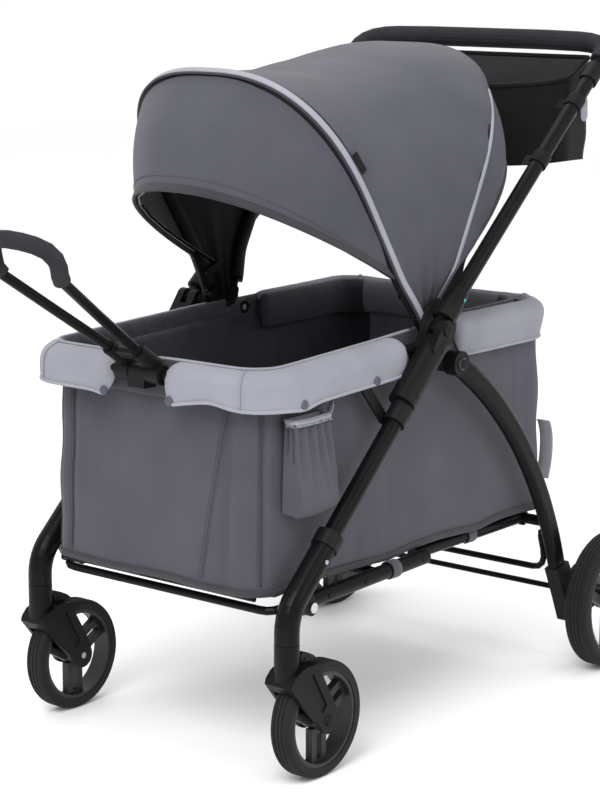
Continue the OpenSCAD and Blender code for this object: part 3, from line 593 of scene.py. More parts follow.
def visor_point(t, j):
    a, b = visor_top[j], edge_route[j]
    p = a.lerp(b, t)
    out = Vector((p.x / 2.5, p.y - V[0], p.z - V[1] + 60))
    span = (b - a).length
    out.normalize()
    k = 15 * math.sin(math.pi * t) * min(1, span / 170)
    k += 1.3 * ns(p.x, p.y, p.z, 0.012) * math.sin(math.pi * t)
    u = abs(j / (NU - 1) - 0.5) * 2
    k += 1.5 * math.sin(p.y * 0.09 + p.z * 0.05) * sm(0.55, 0.9, u) * math.sin(math.pi * t)
    return p + out * k


vrows = [[P(*visor_point(i / 24, j)) for j in range(NU)] for i in range(25)]
visor = skin("canopy_visor_cloth", vrows, "canopy", 0.0018, inside="liner", offset=-1.0)
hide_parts("canopy_visor")

# rear drop
drop_half = [(209, 112, 652), (222, 140, 700), (229, 172, 738), (231, 216, 776), (226, 262, 812),
             (214, 304, 850),
             (192, 336, 880), (148, 370, 903), (80, 394, 916), (0, 400, 920)]
drop_edge = catmull(mirrored([Vector(p) for p in drop_half]), NU)


def drop_point(t, j):
    a, b = rear_route[j], drop_edge[j]
    p = a.lerp(b, t)
    u = abs(j / (NU - 1) - 0.5) * 2
    out = Vector((p.x / 2.2, p.y - 60, p.z - C[1] - 150))
    out.normalize()
    k = 12 * math.sin(math.pi * t) + 1.5 * ns(p.x, p.y, p.z, 0.014) * t
    k += 2.2 * math.sin(p.z * 0.11 + p.y * 0.03) * sm(0.45, 0.8, u) * math.sin(math.pi * t)
    return p + out * k


drows = [[P(*drop_point(1 - i / 18, j)) for j in range(NU)] for i in range(19)]
drop = skin("canopy_rear_cloth", drows, "canopy", 0.0018, inside="black", offset=-1.0)
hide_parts("canopy_rear_panel")
fit(drop, "front_frame")


def offset_route(route, e, y0=C[0], z0=C[1]):
    out = []
    for p in route:
        o = Vector((p.x / 2, p.y - y0, p.z - z0)).normalized()
        out.append(P(*(p + o * e)))
    return out


def outward(route, y0=C[0], z0=C[1]):
    return [Vector((p.x / 2, p.y - y0, p.z - z0)).normalized() for p in route]


band = sweep("main_bow_binding", offset_route(main_route, 1.2), flat_section(0.0115, 0.0042), "piping",
             up=outward(main_route))
fit(band, "canopy_middle")
cord_main = sweep("main_bow_cord", offset_route([p + Vector((0, -7, -3)) for p in main_route], 0.2),
                  ring(0.0022), "hem",
                  up=outward(main_route))
fit(cord_main, "canopy_middle")
for nm, part in (("left", slice(0, 41)), ("right", slice(NU - 41, NU))):
    pip = sweep("rear_bow_piping_" + nm, offset_route(rear_route, 1.6)[part], flat_section(0.008, 0.004),
                "piping",
                up=outward(rear_route)[part], round_ends=0.02)
    fit(pip, "front_frame")
vh = sweep("visor_hem", [P(*p) for p in edge_route], flat_section(0.015, 0.0052), "hem",
           up=[Vector((p.x / 3, p.y - 150, p.z - 640)).normalized() for p in edge_route])
fit(vh, "canopy_front")
inner_edge = [vrows[22][j] for j in range(NU)]
st = stitches("visor_hem_stitch", [p + (p - P(0, 150, 640)).normalized() * 0.0009 for p in inner_edge],
              [(p - P(0, 150, 640)) for p in inner_edge])
fit(st, "canopy_front")
dh = sweep("rear_drop_hem", [P(*p) for p in drop_edge], flat_section(0.011, 0.0046), "canopy",
           up=[Vector((p.x / 3, p.y - 60, 60)).normalized() for p in drop_edge])
fit(dh, "front_frame")
# sleeves of dark cloth that hold the bows to the roof, seen from inside
for nm, route, body, e in (("main_bow_sleeve", bow(*MAIN_BOW, 60, NU, e=0.0), "canopy_middle", -1.5),
                           ("rear_bow_sleeve", bow(*REAR_BOW, 60, NU, e=0.0), "front_frame", -1.5)):
    sl = sweep(nm, offset_route(route, e), ring(0.013, 0.0072, 14), "black", up=outward(route))
    fit(sl, body)

# blank woven tab at the main bow
tab_i = min(range(NU), key=lambda j: (main_route[j] - Vector((209, -76, 905))).length)
o = outward(main_route)[tab_i]
along = (main_route[tab_i - 3] - main_route[tab_i + 3]).normalized()
back = o.cross(along).normalized()
if back.y < 0:
    back = -back
tab_c = P(*main_route[tab_i]) + back * 0.0125 + Vector((0.0045, 0, 0))
tab_pts = [tab_c + along * (s * 0.034 - 0.017) for s in [k / 8 for k in range(9)]]
tab = sweep("woven_tab", tab_pts, flat_section(0.012, 0.0018), "black",
            up=[(o + Vector((0.8, 0, 0))).normalized()] * 9)
fit(tab, "canopy_middle")

# ---------------------------------------------------------------- tub
TX, TY0, TY1, TZ, TR = 216.0, -313.0, 443.0, 285.0, 42.0     # half width, front, back, hem, corner radius
SEAMS_X = (-170, 150)                # the seams of the front wall
CORNER_X, CORNER_IN = 203, 12        # corner seams: from the middle, and in from the front or the back
TIES_Y = (-300, -9, 232, 430)        # where the hem is tied to the rails


def corners(w, y0, y1, r, steps):
    """The four rounded corners of a box w wide each side, anticlockwise from the front left."""
    pts = []
    for cx, cy, a0 in ((w - r, y0 + r, -90), (w - r, y1 - r, 0), (-w + r, y1 - r, 90), (-w + r, y0 + r, 180)):
        for k in range(steps + 1):
            a = math.radians(a0 + 90 * k / steps)
            pts.append(Vector((cx + r * math.cos(a), cy + r * math.sin(a), 0)))
    return pts


def outline(e, n):
    """Even steps round the tub: middle of the front, left side, back, right side."""
    r = TR - e
    x, y0, y1 = TX - e, TY0 + e, TY1 - e
    pts = [Vector((0, y0, 0)), Vector((x - r, y0, 0))]
    pts += corners(x, y0, y1, r, 12)
    pts.append(Vector((0, y0, 0)))
    clean = [pts[0]]
    for p in pts[1:]:
        if (p - clean[-1]).length > 1e-4:
            clean.append(p)
    return even(clean, n + 1)[:-1]


def top_z(y):
    return 584 + 18 * min(1.0, max(0.0, (y - TY0) / (120 - TY0)))


NT = 420
base = outline(0, NT)


def normal_at(ring_pts, j):
    n = len(ring_pts)
    t = ring_pts[(j + 1) % n] - ring_pts[(j - 1) % n]
    return Vector((t.y, -t.x, 0)).normalized()


def seam_pull(p):
    """0 on a seam, 1 away from it."""
    k = 1.0
    if p.y < TY0 + 3:
        for s in SEAMS_X:
            k = min(k, sm(0, 16, abs(p.x - s)) * 0.85 + 0.15)
    for cy in (TY0 + CORNER_IN, TY1 - CORNER_IN):
        k = min(k, sm(0, 14, math.hypot(abs(p.x) - CORNER_X, p.y - cy)) * 0.85 + 0.15)
    return k


def hem_z(p):
    """The lower edge rises a little between the places where it is tied to the rails."""
    if abs(p.x) > 195 and TY0 + 30 < p.y < TY1 - 20:
        for a, b in zip(TIES_Y, TIES_Y[1:]):
            if a <= p.y <= b:
                t = (p.y - a) / (b - a)
                return TZ + 7.5 * math.sin(math.pi * t) ** 2 + 1.2 * math.sin(9 * t)
    return TZ + 1.5 + 1.5 * math.sin(p.x * 0.03 + 1)


def lean(v, nrm):
    """The walls lean in a little towards the rim, most of all at the front."""
    return Vector((-7 * nrm.x * v, -15 * nrm.y * v if nrm.y < 0 else -3 * nrm.y * v, 0))


def shell_point(v, j, e=0.0):
    p = base[j]
    nrm = normal_at(base, j)
    z0, z1 = hem_z(p), top_z(p.y) + 4
    z = z0 + (z1 - z0) * v
    k = seam_pull(p)
    amp = math.sin(math.pi * min(1, max(0, v))) ** 0.7
    out = 4.2 * amp * k
    # long shallow creases that run down from the corners and the seams, and draws under the rim
    out += 1.8 * ns(p.x, p.y, z * 0.25, 0.014) * (0.35 + 0.65 * amp)
    out += 1.3 * ns(p.x + 200, p.y, z * 0.12, 0.035) * k
    near_corner = bump(math.hypot(abs(p.x) - TX, min(abs(p.y - TY0), abs(p.y - TY1))), 0, 70)
    out += 1.8 * near_corner * math.sin(z * 0.05 + p.y * 0.02) * amp
    out += 1.6 * bump(v, 0.9, 0.08) * math.sin(p.x * 0.05 + p.y * 0.045) * k
    out -= 1.0 * (1 - k)
    return Vector((p.x, p.y, z)) + nrm * (out + e) + lean(max(0.0, v), nrm)


NV = 56
srows = [[P(*shell_point(i / NV, j)) for j in range(NT)] for i in range(NV + 1)]
shell = skin("tub_cloth_outside", srows, "main", 0.0022, inside="liner", wrap=True, offset=-1.0)
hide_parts("tub_shell")
soft_tub = []


def tub_part(ob):
    """Collects a piece of the tub; the collected pieces are attached to the front frame further on."""
    soft_tub.append(ob)


tub_part(shell)
hem = sweep("tub_hem_binding", [P(*shell_point(0.0, j, 1.0)) for j in range(NT)],
            ring(0.0042, 0.0060, 10), "hem", closed=True)
tub_part(hem)

# floor of the outside shell
under = [[P(base[j].x * s, (base[j].y - 65) * s + 65, TZ + 1.0 + 2.5 * (1 - s)) for j in range(NT)]
         for s in (0.985, 0.8, 0.55, 0.3, 0.02)]
bottom = skin("tub_cloth_floor", under, "hem", 0.002, wrap=True, offset=1.0)
tub_part(bottom)


def find_j(x, y):
    return min(range(NT), key=lambda j: (base[j] - Vector((x, y, 0))).length)


def seam_point(v, j, e):
    a = math.floor(j)
    return shell_point(v, a % NT, e).lerp(shell_point(v, (a + 1) % NT, e), j - a)


# raised seams and their stitching
for sx, sy, nm in ((SEAMS_X[0], TY0, "front_seam_right"), (SEAMS_X[1], TY0, "front_seam_left"),
                   (CORNER_X, TY0 + CORNER_IN, "corner_seam_left"),
                   (-CORNER_X, TY0 + CORNER_IN, "corner_seam_right"),
                   (CORNER_X, TY1 - CORNER_IN, "back_seam_left"),
                   (-CORNER_X, TY1 - CORNER_IN, "back_seam_right")):
    j0 = find_j(sx, sy)
    slant = -9 if nm == "front_seam_left" else 0
    line = []
    for i in range(2, NV - 3):
        v = i / NV
        line.append(P(*seam_point(v, j0 + slant * (1 - v), 0.9)))
    thin = 0.5 if nm in ("front_seam_left", "back_seam_left") else 1.0
    sb = sweep(nm, line, ring(0.0022 * thin, 0.0012 * thin, 8), "main" if thin < 1 else "hem",
               up=normal_at(base, j0))
    tub_part(sb)
    for off in (-4, 4):
        line2 = [P(*seam_point(i / NV, j0 + slant * (1 - i / NV) + off * 0.22, 0.5)) for i in range(2,
                                                                                                    NV - 3)]
        ss = stitches(nm + ("_stitch_a" if off < 0 else "_stitch_b"), line2, normal_at(base, j0))
        tub_part(ss)

# liner, quilted, with a pale panel across the back
lin = outline(9.0, NT)
PALE_X = 145                         # half width of the pale panel


def liner_point(v, j):
    p = lin[j]
    nrm = -normal_at(lin, j)
    z1 = top_z(p.y) + 12
    z = 300 + (z1 - 300) * v
    run = p.y if abs(p.x) > 170 else p.x
    ch = abs(math.sin(run * math.pi / 118.0)) ** 0.35
    band_v = sm(0.0, 0.05, abs(v - 0.60))
    out = 6.0 * ch * (0.35 + 0.65 * band_v) * math.sin(math.pi * v) ** 0.6
    out += 2.2 * ns(p.x, p.y, z * 0.6, 0.03)
    return Vector((p.x, p.y, z)) + nrm * out + lean(v, -nrm)


lrows = [[P(*liner_point(i / 30, j)) for j in range(NT)] for i in range(31)]
liner = skin("tub_lining", lrows, ["liner", "liner_pale"], 0.003, wrap=True, offset=0.0,
             pick=lambda i, j: 1 if lin[j].y > TY1 - 40 and abs(lin[j].x) < PALE_X and i > 3 else 0)
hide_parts("tub_liner")
tub_part(liner)


# floor mat: a quilted pad, closed, crowned between its sewn channels
def mat_piece():
    nx, ny = 60, 104
    verts, faces, uv = [], [], []
    hx, y0, y1 = 201.0, TY0 + 15, TY1 - 15
    for side_z in (1, -1):
        for iy in range(ny + 1):
            for ix in range(nx + 1):
                x = -hx + 2 * hx * ix / nx
                y = y0 + (y1 - y0) * iy / ny
                # round the corners of the plan
                r = 34
                cx, cy = max(0, abs(x) - (hx - r)), max(0, abs(y - (y0 + y1) / 2) - ((y1 - y0) / 2 - r))
                h = math.hypot(cx, cy)
                if h > r:
                    f = r / h
                    x = math.copysign(hx - r + cx * f, x)
                    y = (y0 + y1) / 2 + math.copysign((y1 - y0) / 2 - r + cy * f, y - (y0 + y1) / 2)
                edge = min(hx - abs(x), y - y0, y1 - y, max(0.0, r - h) if h > 0 else 999)
                puff = sm(0, 18, edge)
                ch = min(1.0, abs(math.sin(math.pi * (x + hx) / 137)) ** 0.5,
                         abs(math.sin(math.pi * (y - y0) / 147)) ** 0.5)
                z = 294 + (2.0 + 3.2 * puff * (0.35 + 0.65 * ch) if side_z > 0 else -3.5 * puff)
                verts.append(P(x, y, z))
                uv.append((x / 1000, y / 1000))
    n = (nx + 1) * (ny + 1)
    for iy in range(ny):
        for ix in range(nx):
            a = iy * (nx + 1) + ix
            faces.append((a, a + 1, a + nx + 2, a + nx + 1))
            faces.append((n + a, n + a + nx + 1, n + a + nx + 2, n + a + 1))
    rim = [ix for ix in range(nx + 1)] + [iy * (nx + 1) + nx for iy in range(1, ny + 1)] \
        + [ny * (nx + 1) + ix for ix in range(nx - 1, -1, -1)] + [iy * (nx + 1) for iy in range(ny - 1, 0,
                                                                                                -1)]
    for a, b in zip(rim, rim[1:] + rim[:1]):
        faces.append((b, a, n + a, n + b))
    return finish_mesh("floor_mat_pad", verts, faces, uv, "liner")


floor_pad = mat_piece()
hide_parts("floor_mat")
tub_part(floor_pad)


# ---------------------------------------------------------------- padded rim
RIM_END = 26.0                       # length over which a cover's end is rounded
REAR_DROP, REAR_FLARE = 44, 9        # of the rear cover's skirt


def round_tail(to_end, ends=RIM_END):
    return math.sqrt(max(0.02, 1 - (1 - min(to_end, ends) / ends) ** 2))


def rim_section(s, drop, seed, tail=1.0):
    """Outline of the padded cover: crest inside the rail, skirt hanging down outside. side > 0 is outward."""
    w = 1.2 * ns(s * 0.02, seed, 0, 1.0)
    w2 = 1.0 * ns(s * 0.055, seed + 9, 3, 1.0)
    low = -drop + 3.5 * ns(s * 0.011, seed + 4, 1, 1.0)
    o = [(-24.5, -22), (-26.5 - w * .5, -10), (-27, 4), (-25, 14 + w2), (-20.5, 20.5 + w), (-14.5, 22.6 + w2),
         (-7, 20.4 + w), (0.5, 15.8), (7.5, 9.6), (11.2 + w, 1), (12.4 + w + w2, -10), (12.6 + w2, -22),
         (12.2 + w2, low + 8), (11.4 + w, low + 1.2), (9.2, low - 0.6), (7.0, low + 2.5), (8.2, -22),
         (9.4, -8),
         (8.6, 3), (4.5, 9.0), (-1, 10.9), (-7, 9.6), (-11.5, 4), (-13, -7), (-14.5, -18), (-19, -24)]
    return [(a / 1000 * tail, b / 1000 * (0.25 + 0.75 * tail) if b < 0 else b / 1000 * tail) for a, b in o]


def rim_band(name, route, body, node_name, seed, drop_of, flare=0.0):
    pts = [P(*p) for p in route]
    ss = [0.0]
    for a, b in zip(route, route[1:]):
        ss.append(ss[-1] + (b - a).length)
    total = ss[-1]

    def sec(i):
        e = min(ss[i], total - ss[i])
        tail = round_tail(e)
        k = 0.35 + 0.65 * tail if e < RIM_END else 1.0
        out = rim_section(ss[i], drop_of(route[i]) * (0.55 + 0.45 * tail), seed, k)
        return [(a + flare * sm(-0.045, 0.015, b) * k, b) for a, b in out]

    ob = sweep(name, pts, sec, "trim")
    ob.data.materials.append(M["liner"])
    m = len(sec(0))
    for k, poly in enumerate(ob.data.polygons):
        if k < (len(pts) - 1) * m and (k % m in (0, 1, 2) or k % m >= 22):
            poly.material_index = 1
    ob = subdivide(ob)
    for p in ob.data.polygons:
        p.use_smooth = True
    fit(ob, body)
    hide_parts(node_name)


def front_side_route(sgn, n=84):
    x, yc, r, z = 232.0, -270.0, 60.0, 600.0
    pts = [Vector((sgn * x, y, h)) for y, h in ((14, 612.5), (-60, 609), (-160, 605), (yc, z))]
    pts += [Vector((sgn * (x - r + r * math.cos(math.radians(a))), yc - r * math.sin(math.radians(a)), z))
            for a in range(10, 91, 10)]
    pts += [Vector((sgn * 110, -330, z)), Vector((sgn * 50, -330, z))]
    return even(pts, n)


def drop_front(p):
    """Depth of the front cover's skirt along its route."""
    return (37 + 5 * bump(abs(p.x), 62, 22) * (1 if p.y < -320 else 0)
            - 8 * bump(p.x, 145, 40) * (1 if p.y < -300 else 0) + 5 * bump(p.y, -245, 26))


left_route = front_side_route(1)[::-1]
right_route = front_side_route(-1)
rim_band("rim_pad_front_left", left_route, "front_frame", "rim_front", 3, drop_front)
rim_band("rim_pad_front_right", right_route, "front_frame", "rim_front", 17, drop_front)

rail_x, rail_z, back_y = 204.0, 622.0, TY1 - 14
pts = [Vector((rail_x + 3, 172, rail_z)), Vector((rail_x + 5, 260, rail_z)),
       Vector((rail_x + 9, back_y - 50, rail_z + 1))]
pts += [Vector((rail_x - 41 + 50 * math.cos(math.radians(a)), back_y - 44 + 50 * math.sin(math.radians(a)),
                rail_z + 2))
        for a in range(10, 91, 10)]
rear_rim_route = even(mirrored(pts + [Vector((0, back_y + 4, rail_z))]), 190)
rim_band("rim_pad_rear", rear_rim_route, "rear_rim", "rim_rear", 29, lambda p: REAR_DROP,
         flare=REAR_FLARE / 1000)

# seams across the rim at its corners
seam_outline = ((-21.5, 20.4), (-14.5, 23), (-7, 21), (0.5, 16.6), (7.8, 10.2), (11.8, 1), (13.2, -10),
                (13.4, -22),
                (13, -30))
for route, body, nm, steps in ((left_route, "front_frame", "rim_seam_left", (24,)),
                               (right_route, "front_frame", "rim_seam_right", (59,)),
                               (rear_rim_route, "rear_rim", "rim_seam_rear", (58, 131))):
    line_p = [P(*p) for p in route]
    fr = frames(line_p, (0, 0, 1))
    flare = REAR_FLARE if body == "rear_rim" else 0
    for q, i in enumerate(steps):
        t, s, u = fr[i]
        line = [line_p[i] + s * (a + flare * sm(-45, 15, b)) / 1000 + u * b / 1000 for a, b in seam_outline]
        sb = sweep(nm + "_%d" % q, catmull(line, 30), ring(0.0011, n=8), "trim", up=t)
        fit(sb, body)

# rolled edge along the lower side of the covers
for route, body, nm in ((left_route, "front_frame", "rim_edge_left"),
                        (right_route, "front_frame", "rim_edge_right"),
                        (rear_rim_route, "rear_rim", "rim_edge_rear")):
    line_p = [P(*p) for p in route]
    fr = frames(line_p, (0, 0, 1))
    pitch = (route[1] - route[0]).length
    edge = []
    for i in range(2, len(route) - 2):
        t, side, up = fr[i]
        tail = round_tail(min(i, len(route) - 1 - i) * pitch)
        low = REAR_DROP if body == "rear_rim" else drop_front(route[i])
        low = low * (0.55 + 0.45 * tail) * (0.5 + 0.5 * tail)
        edge.append(line_p[i] + side * 0.0114 * (0.35 + 0.65 * tail) - up * (low - 1.5) / 1000)
    ob = sweep(nm, edge, ring(0.0025, 0.0029, 8), "piping", round_ends=0.004)
    fit(ob, body)

# snaps
snaps = [(sgn * 66, -343.4, 566, (0, -1, 0)) for sgn in (1, -1)]
snaps += [(sgn * 245.4, y, z, (sgn, 0, 0)) for sgn in (1, -1) for y, z in ((-246, 568), (-72, 578))]
for i, (sx, sy, sz, nrm) in enumerate(snaps):
    d = disc("snap_%d" % i, P(sx, sy, sz) - Vector(nrm) * 0.0012, nrm, 0.0072, 0.0028, "snap")
    fit(d, "front_frame")


# dark padded roll sewn round the inside of the rim
def roll_section(s, seed):
    w = 1.6 * ns(s * 0.035, seed, 0, 1.0) + 1.1 * ns(s * 0.09, seed + 5, 2, 1.0)
    w2 = 1.3 * ns(s * 0.05, seed + 8, 1, 1.0)
    o = [(3.2, -2), (1.8, 2.0), (-2.5, 3.4 + w2 * .4), (-7.5 - w, 0), (-10.8 - w, -9), (-11.6 - w2, -22),
         (-10.2 - w, -36),
         (-6.4 - w2 * .5, -49), (-1.0, -57), (3.0, -59), (4.6, -50), (4.2, -36), (3.8, -20)]
    return [(a / 1000, b / 1000) for a, b in o]


def inner_route(n):
    pts = [Vector((207, 196, 637)), Vector((207, 120, 636)), Vector((210, 40, 634.5)),
           Vector((213, -40, 631)),
           Vector((215, -150, 626.5)), Vector((216, -250, 622.5))]
    pts += [Vector((168 + 48 * math.cos(math.radians(a)), -265 - 48 * math.sin(math.radians(a)), 622))
            for a in range(15, 91, 15)]
    pts += [Vector((60, -313.5, 621.5)), Vector((0, -313.5, 620))]
    return catmull(mirrored(pts), n)


roll_route = list(reversed(inner_route(300)))
roll_s = [0.0]
for a, b in zip(roll_route, roll_route[1:]):
    roll_s.append(roll_s[-1] + (b - a).length)
roll = sweep("rim_inner_roll", [P(*q) for q in roll_route], lambda i: roll_section(roll_s[i], 41), "liner",
             round_ends=0.012)
roll = subdivide(roll)
pts = [Vector((184, 166, 640)), Vector((184, 300, 641)), Vector((184, 366, 642)), Vector((171, 397, 642)),
       Vector((140, 409, 642)), Vector((70, 411, 642)), Vector((0, 411, 642))]
back_route = catmull(mirrored(pts), 200)
roll_b = sweep("rim_inner_roll_rear", [P(*q) for q in back_route], lambda i: roll_section(i * 5.0, 57),
               "liner",
               round_ends=0.012)
roll_b.data.materials.append(M["liner_pale"])
m = len(roll_section(0, 57))
for k, poly in enumerate(roll_b.data.polygons):
    q = back_route[min(len(back_route) - 1, k // m)]
    if q.y > 400 and abs(q.x) < PALE_X:
        poly.material_index = 1
roll_b = subdivide(roll_b)
fit(roll_b, "rear_rim")
edge_pipe = sweep("rim_crest_piping", [P(*q) + Vector((0, 0, 0.0012)) for q in roll_route[30:-30]],
                  ring(0.0030, 0.0024), "trim")

# ---------------------------------------------------------------- side pocket
def pocket():
    """Rows across the bag: near gusset, front, far gusset. It is drawn in at its elastic top."""
    rows = []
    n, m = 72, 40
    for i in range(m + 1):
        v = i / m
        z = 405 + 136 * v
        y0, y1 = -268 + 6 * v, -179 + 2 * v
        depth = 41 - 23 * v - 6 * bump(v, 0, 0.08)
        gus = 0.30
        row = []
        for j in range(n + 1):
            u = j / n
            if u < gus:
                k = u / gus
                x, y = depth * k, y0 + 3 * math.sin(math.pi * k) * (1 - v)
            elif u > 1 - gus * 0.8:
                k = (1 - u) / (gus * 0.8)
                x, y = depth * k, y1 - 5 * math.sin(math.pi * k)
            else:
                k = (u - gus) / (1 - 1.8 * gus)
                x, y = depth + 2.5 * math.sin(math.pi * k), y0 + (y1 - y0) * k
            arch = math.sin(math.pi * u)
            fold = 3.4 * sm(0.1, 0.85, v) * math.sin((u - 0.5) * (62 - 16 * (1 - v)) + 0.5) * arch ** 0.4
            fold = (fold + 1.8 * ns(y, z, 4, 0.035) * arch) * (1 - 0.7 * sm(0.9, 1.0, v))
            low = sm(0, 0.07, v)
            row.append(P(220 + x * (0.82 + 0.18 * low) + fold * low, y, z - 4 * arch * (1 - v)))
        rows.append(row)
    return rows


prow = pocket()
pk = skin("side_pocket_cloth", prow, "main", 0.0022, inside="liner", offset=-1.0)
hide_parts("side_pocket")
back_x = P(220.5, 0, 0).x
back_rows = [[Vector((back_x, q.y, q.z)) for q in row[::4]] for row in prow[::4]]
pkb = skin("side_pocket_back", back_rows, "main", 0.0012, offset=0.0)
top_row = prow[-1]
cuff_pts = even(catmull(top_row[::6], 60), 90)
cuff = sweep("pocket_elastic_cuff",
             [p + Vector((0.0014 + 0.0007 * math.sin(i * 1.4), 0, 0.0005 * math.sin(i * 0.95)))
             for i, p in enumerate(cuff_pts)], flat_section(0.0035, 0.0105), "piping", up=(0, 0, 1))
cuff2 = sweep("pocket_elastic_back", [P(221.5, -170 - 92 * k / 12, 541 + (k % 2) * 0.4) for k in range(13)],
              flat_section(0.0025, 0.010), "piping", up=(0, 0, 1))
loop_pts = catmull([P(232, -172, 541), P(233, -168, 551), P(231, -165, 559), P(228, -166, 551),
                    P(228, -169, 541)], 24)
ptab = sweep("pocket_loop_tab", loop_pts, flat_section(0.0075, 0.0013), "web_light", up=(0, 1, 0.2))
pseam = stitches("pocket_seam_stitch", [prow[2][j] + Vector((0.0007, 0, 0.002)) for j in range(22, 58)],
                 (1, 0, 0))
soft_tub += [pk, pkb, cuff, cuff2, ptab, pseam]

# webbing that ties the hem to the rails, and the grab loop on the back
def tie(name, rail_x, r, y, z, body, sgn):
    pts = []
    for k in range(28):
        a = math.radians(200 - 290 * k / 27)
        pts.append(P(sgn * (rail_x + (r + 1.6) * math.cos(a)), y, z + (r + 1.6) * math.sin(a)))
    ob = sweep(name, pts, flat_section(0.022, 0.0022), "web",
               up=[(p - P(sgn * rail_x, y, z)).normalized() for p in pts])
    fit(ob, body)


for sgn, nm in ((1, "left"), (-1, "right")):
    tie("rail_tie_front_" + nm, 228, 12, -9, 267.9, "rail_front", sgn)
    tie("rail_tie_rear_" + nm, 203.5, 10.5, 232, 270.8, "rail_rear", sgn)

loop = catmull([P(208, y, z) for y,
                z in ((446, 330), (453, 352), (457, 378), (456, 405), (450, 424), (446, 430))], 30)
gl = sweep("rear_grab_loop", loop, flat_section(0.026, 0.0028), "web_light", up=(0, 1, 0))
tub_part(gl)

for ob in soft_tub:
    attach(ob, "front_frame")
    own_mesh(ob)


# ---------------------------------------------------------------- organiser
def organiser():
    made = []
    y0, y1, z0 = 462.0, 550.0, 855.0
    w, n = 224.0, 96

    def wall():
        """Rounded plan of the bag."""
        r = 22.0
        pts = corners(w, y0, y1, r, 8)
        pts.append(pts[0])
        return even(pts, 4 * n + 1)[:-1]

    rows = []
    for i in range(33):
        v = i / 32
        ringp = wall()
        row = []
        for p in ringp:
            front = sm(y1 - 8, y0 + 8, p.y)
            top = 1038 - 20 * front * math.cos(p.x / w * math.pi / 2) ** 0.6 - 30 * front
            lo = z0 - 2 + 16 * (1 - math.cos(p.x / w * math.pi / 2)) ** 1.5
            z = lo + (top - lo) * v
            k = 1 - 0.10 * (1 - sm(0, 0.25, v))
            q = Vector((p.x * (0.985 + 0.015 * v), (p.y - 506) * k + 506, z))
            wr = 2.0 * ns(p.x, p.y, z, 0.02) + 1.2 * math.sin(z * 0.08 + p.x * 0.02) * (1 - v)
            d = Vector((p.x / 6, p.y - 506, 0)).normalized()
            row.append(P(*(q + d * wr)))
        rows.append(row)
    bag = skin("organiser_bag", rows, ["black", "net"], 0.002, wrap=True, offset=-1.0,
               pick=lambda i, j: 1 if i > 22 and rows[0][j].y > P(0, 535, 0).y else 0)
    made.append(bag)
    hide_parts("organiser")
    my = P(0, 506, 0).y
    base_rows = [[Vector((p.x * s, (p.y - my) * s + my, p.z + 0.001)) for p in rows[0]]
                 for s in (1.0, 0.7, 0.35, 0.02)]
    made.append(skin("organiser_floor", base_rows, "black", 0.002, wrap=True, offset=0.0))
    made.append(sweep("organiser_top_binding", rows[-1], ring(0.0034, 0.0044), "black", closed=True))
    # middle wall
    tenths = [k / 10 for k in range(11)]
    mid = [[P(3 * math.sin(v * 3), 470 + 72 * u, 862 + 108 * v) for u in tenths] for v in tenths]
    made.append(skin("organiser_divider", mid, "black", 0.002, offset=0.0))
    # straps to the handle's tubes, and pale tabs
    for sgn, nm in ((1, "left"), (-1, "right")):
        for q, along_tube in enumerate((368.0, 500.0)):
            cy, cz = handle_point(along_tube)
            e1 = Vector((1, 0, 0))
            e2 = Vector((0, math.cos(HANDLE_TILT), math.sin(HANDLE_TILT))).cross(e1)
            pts = [P(*(Vector((sgn * 255, cy, cz)) + (e1 * math.cos(a) + e2 * math.sin(a)) * 14.2))
                   for a in (2 * math.pi * k / 28 for k in range(28))]
            made.append(sweep("organiser_strap_%s_%d" % (nm, q), pts, flat_section(0.024, 0.0022), "black",
                              closed=True,
                              up=[(p - P(sgn * 255, cy, cz)).normalized() for p in pts]))
            link_pts = [P(sgn * (222 + 22 * k / 6), cy + 3, cz - 2) for k in range(7)]
            made.append(sweep("organiser_link_%s_%d" % (nm, q), link_pts, flat_section(0.022, 0.002), "black",
                              up=(0, -math.sin(HANDLE_TILT), math.cos(HANDLE_TILT))))
        for q, (ya, za, yb, zb) in enumerate(((468, 943, 505, 977), (509, 934, 507, 978))):
            tb = [P(sgn * (233 + 1.5 * q), ya + (yb - ya) * k / 10,
                    za + (zb - za) * k / 10) for k in range(11)]
            made.append(sweep("organiser_pale_tab_%s_%d" % (nm, q), tb, flat_section(0.020, 0.0022), "trim",
                              up=(sgn, 0, 0), round_ends=0.009))
    for ob in made:
        fit(ob, "push_handle")


organiser()

# ---------------------------------------------------------------- small hardware
def ride_disc(name, pos, r, h, mat, body):
    """A head on the outer face of the side that its x is on."""
    d = disc(name, P(*pos), (math.copysign(1, pos[0]), 0, 0), r, h, mat)
    fit(d, body)


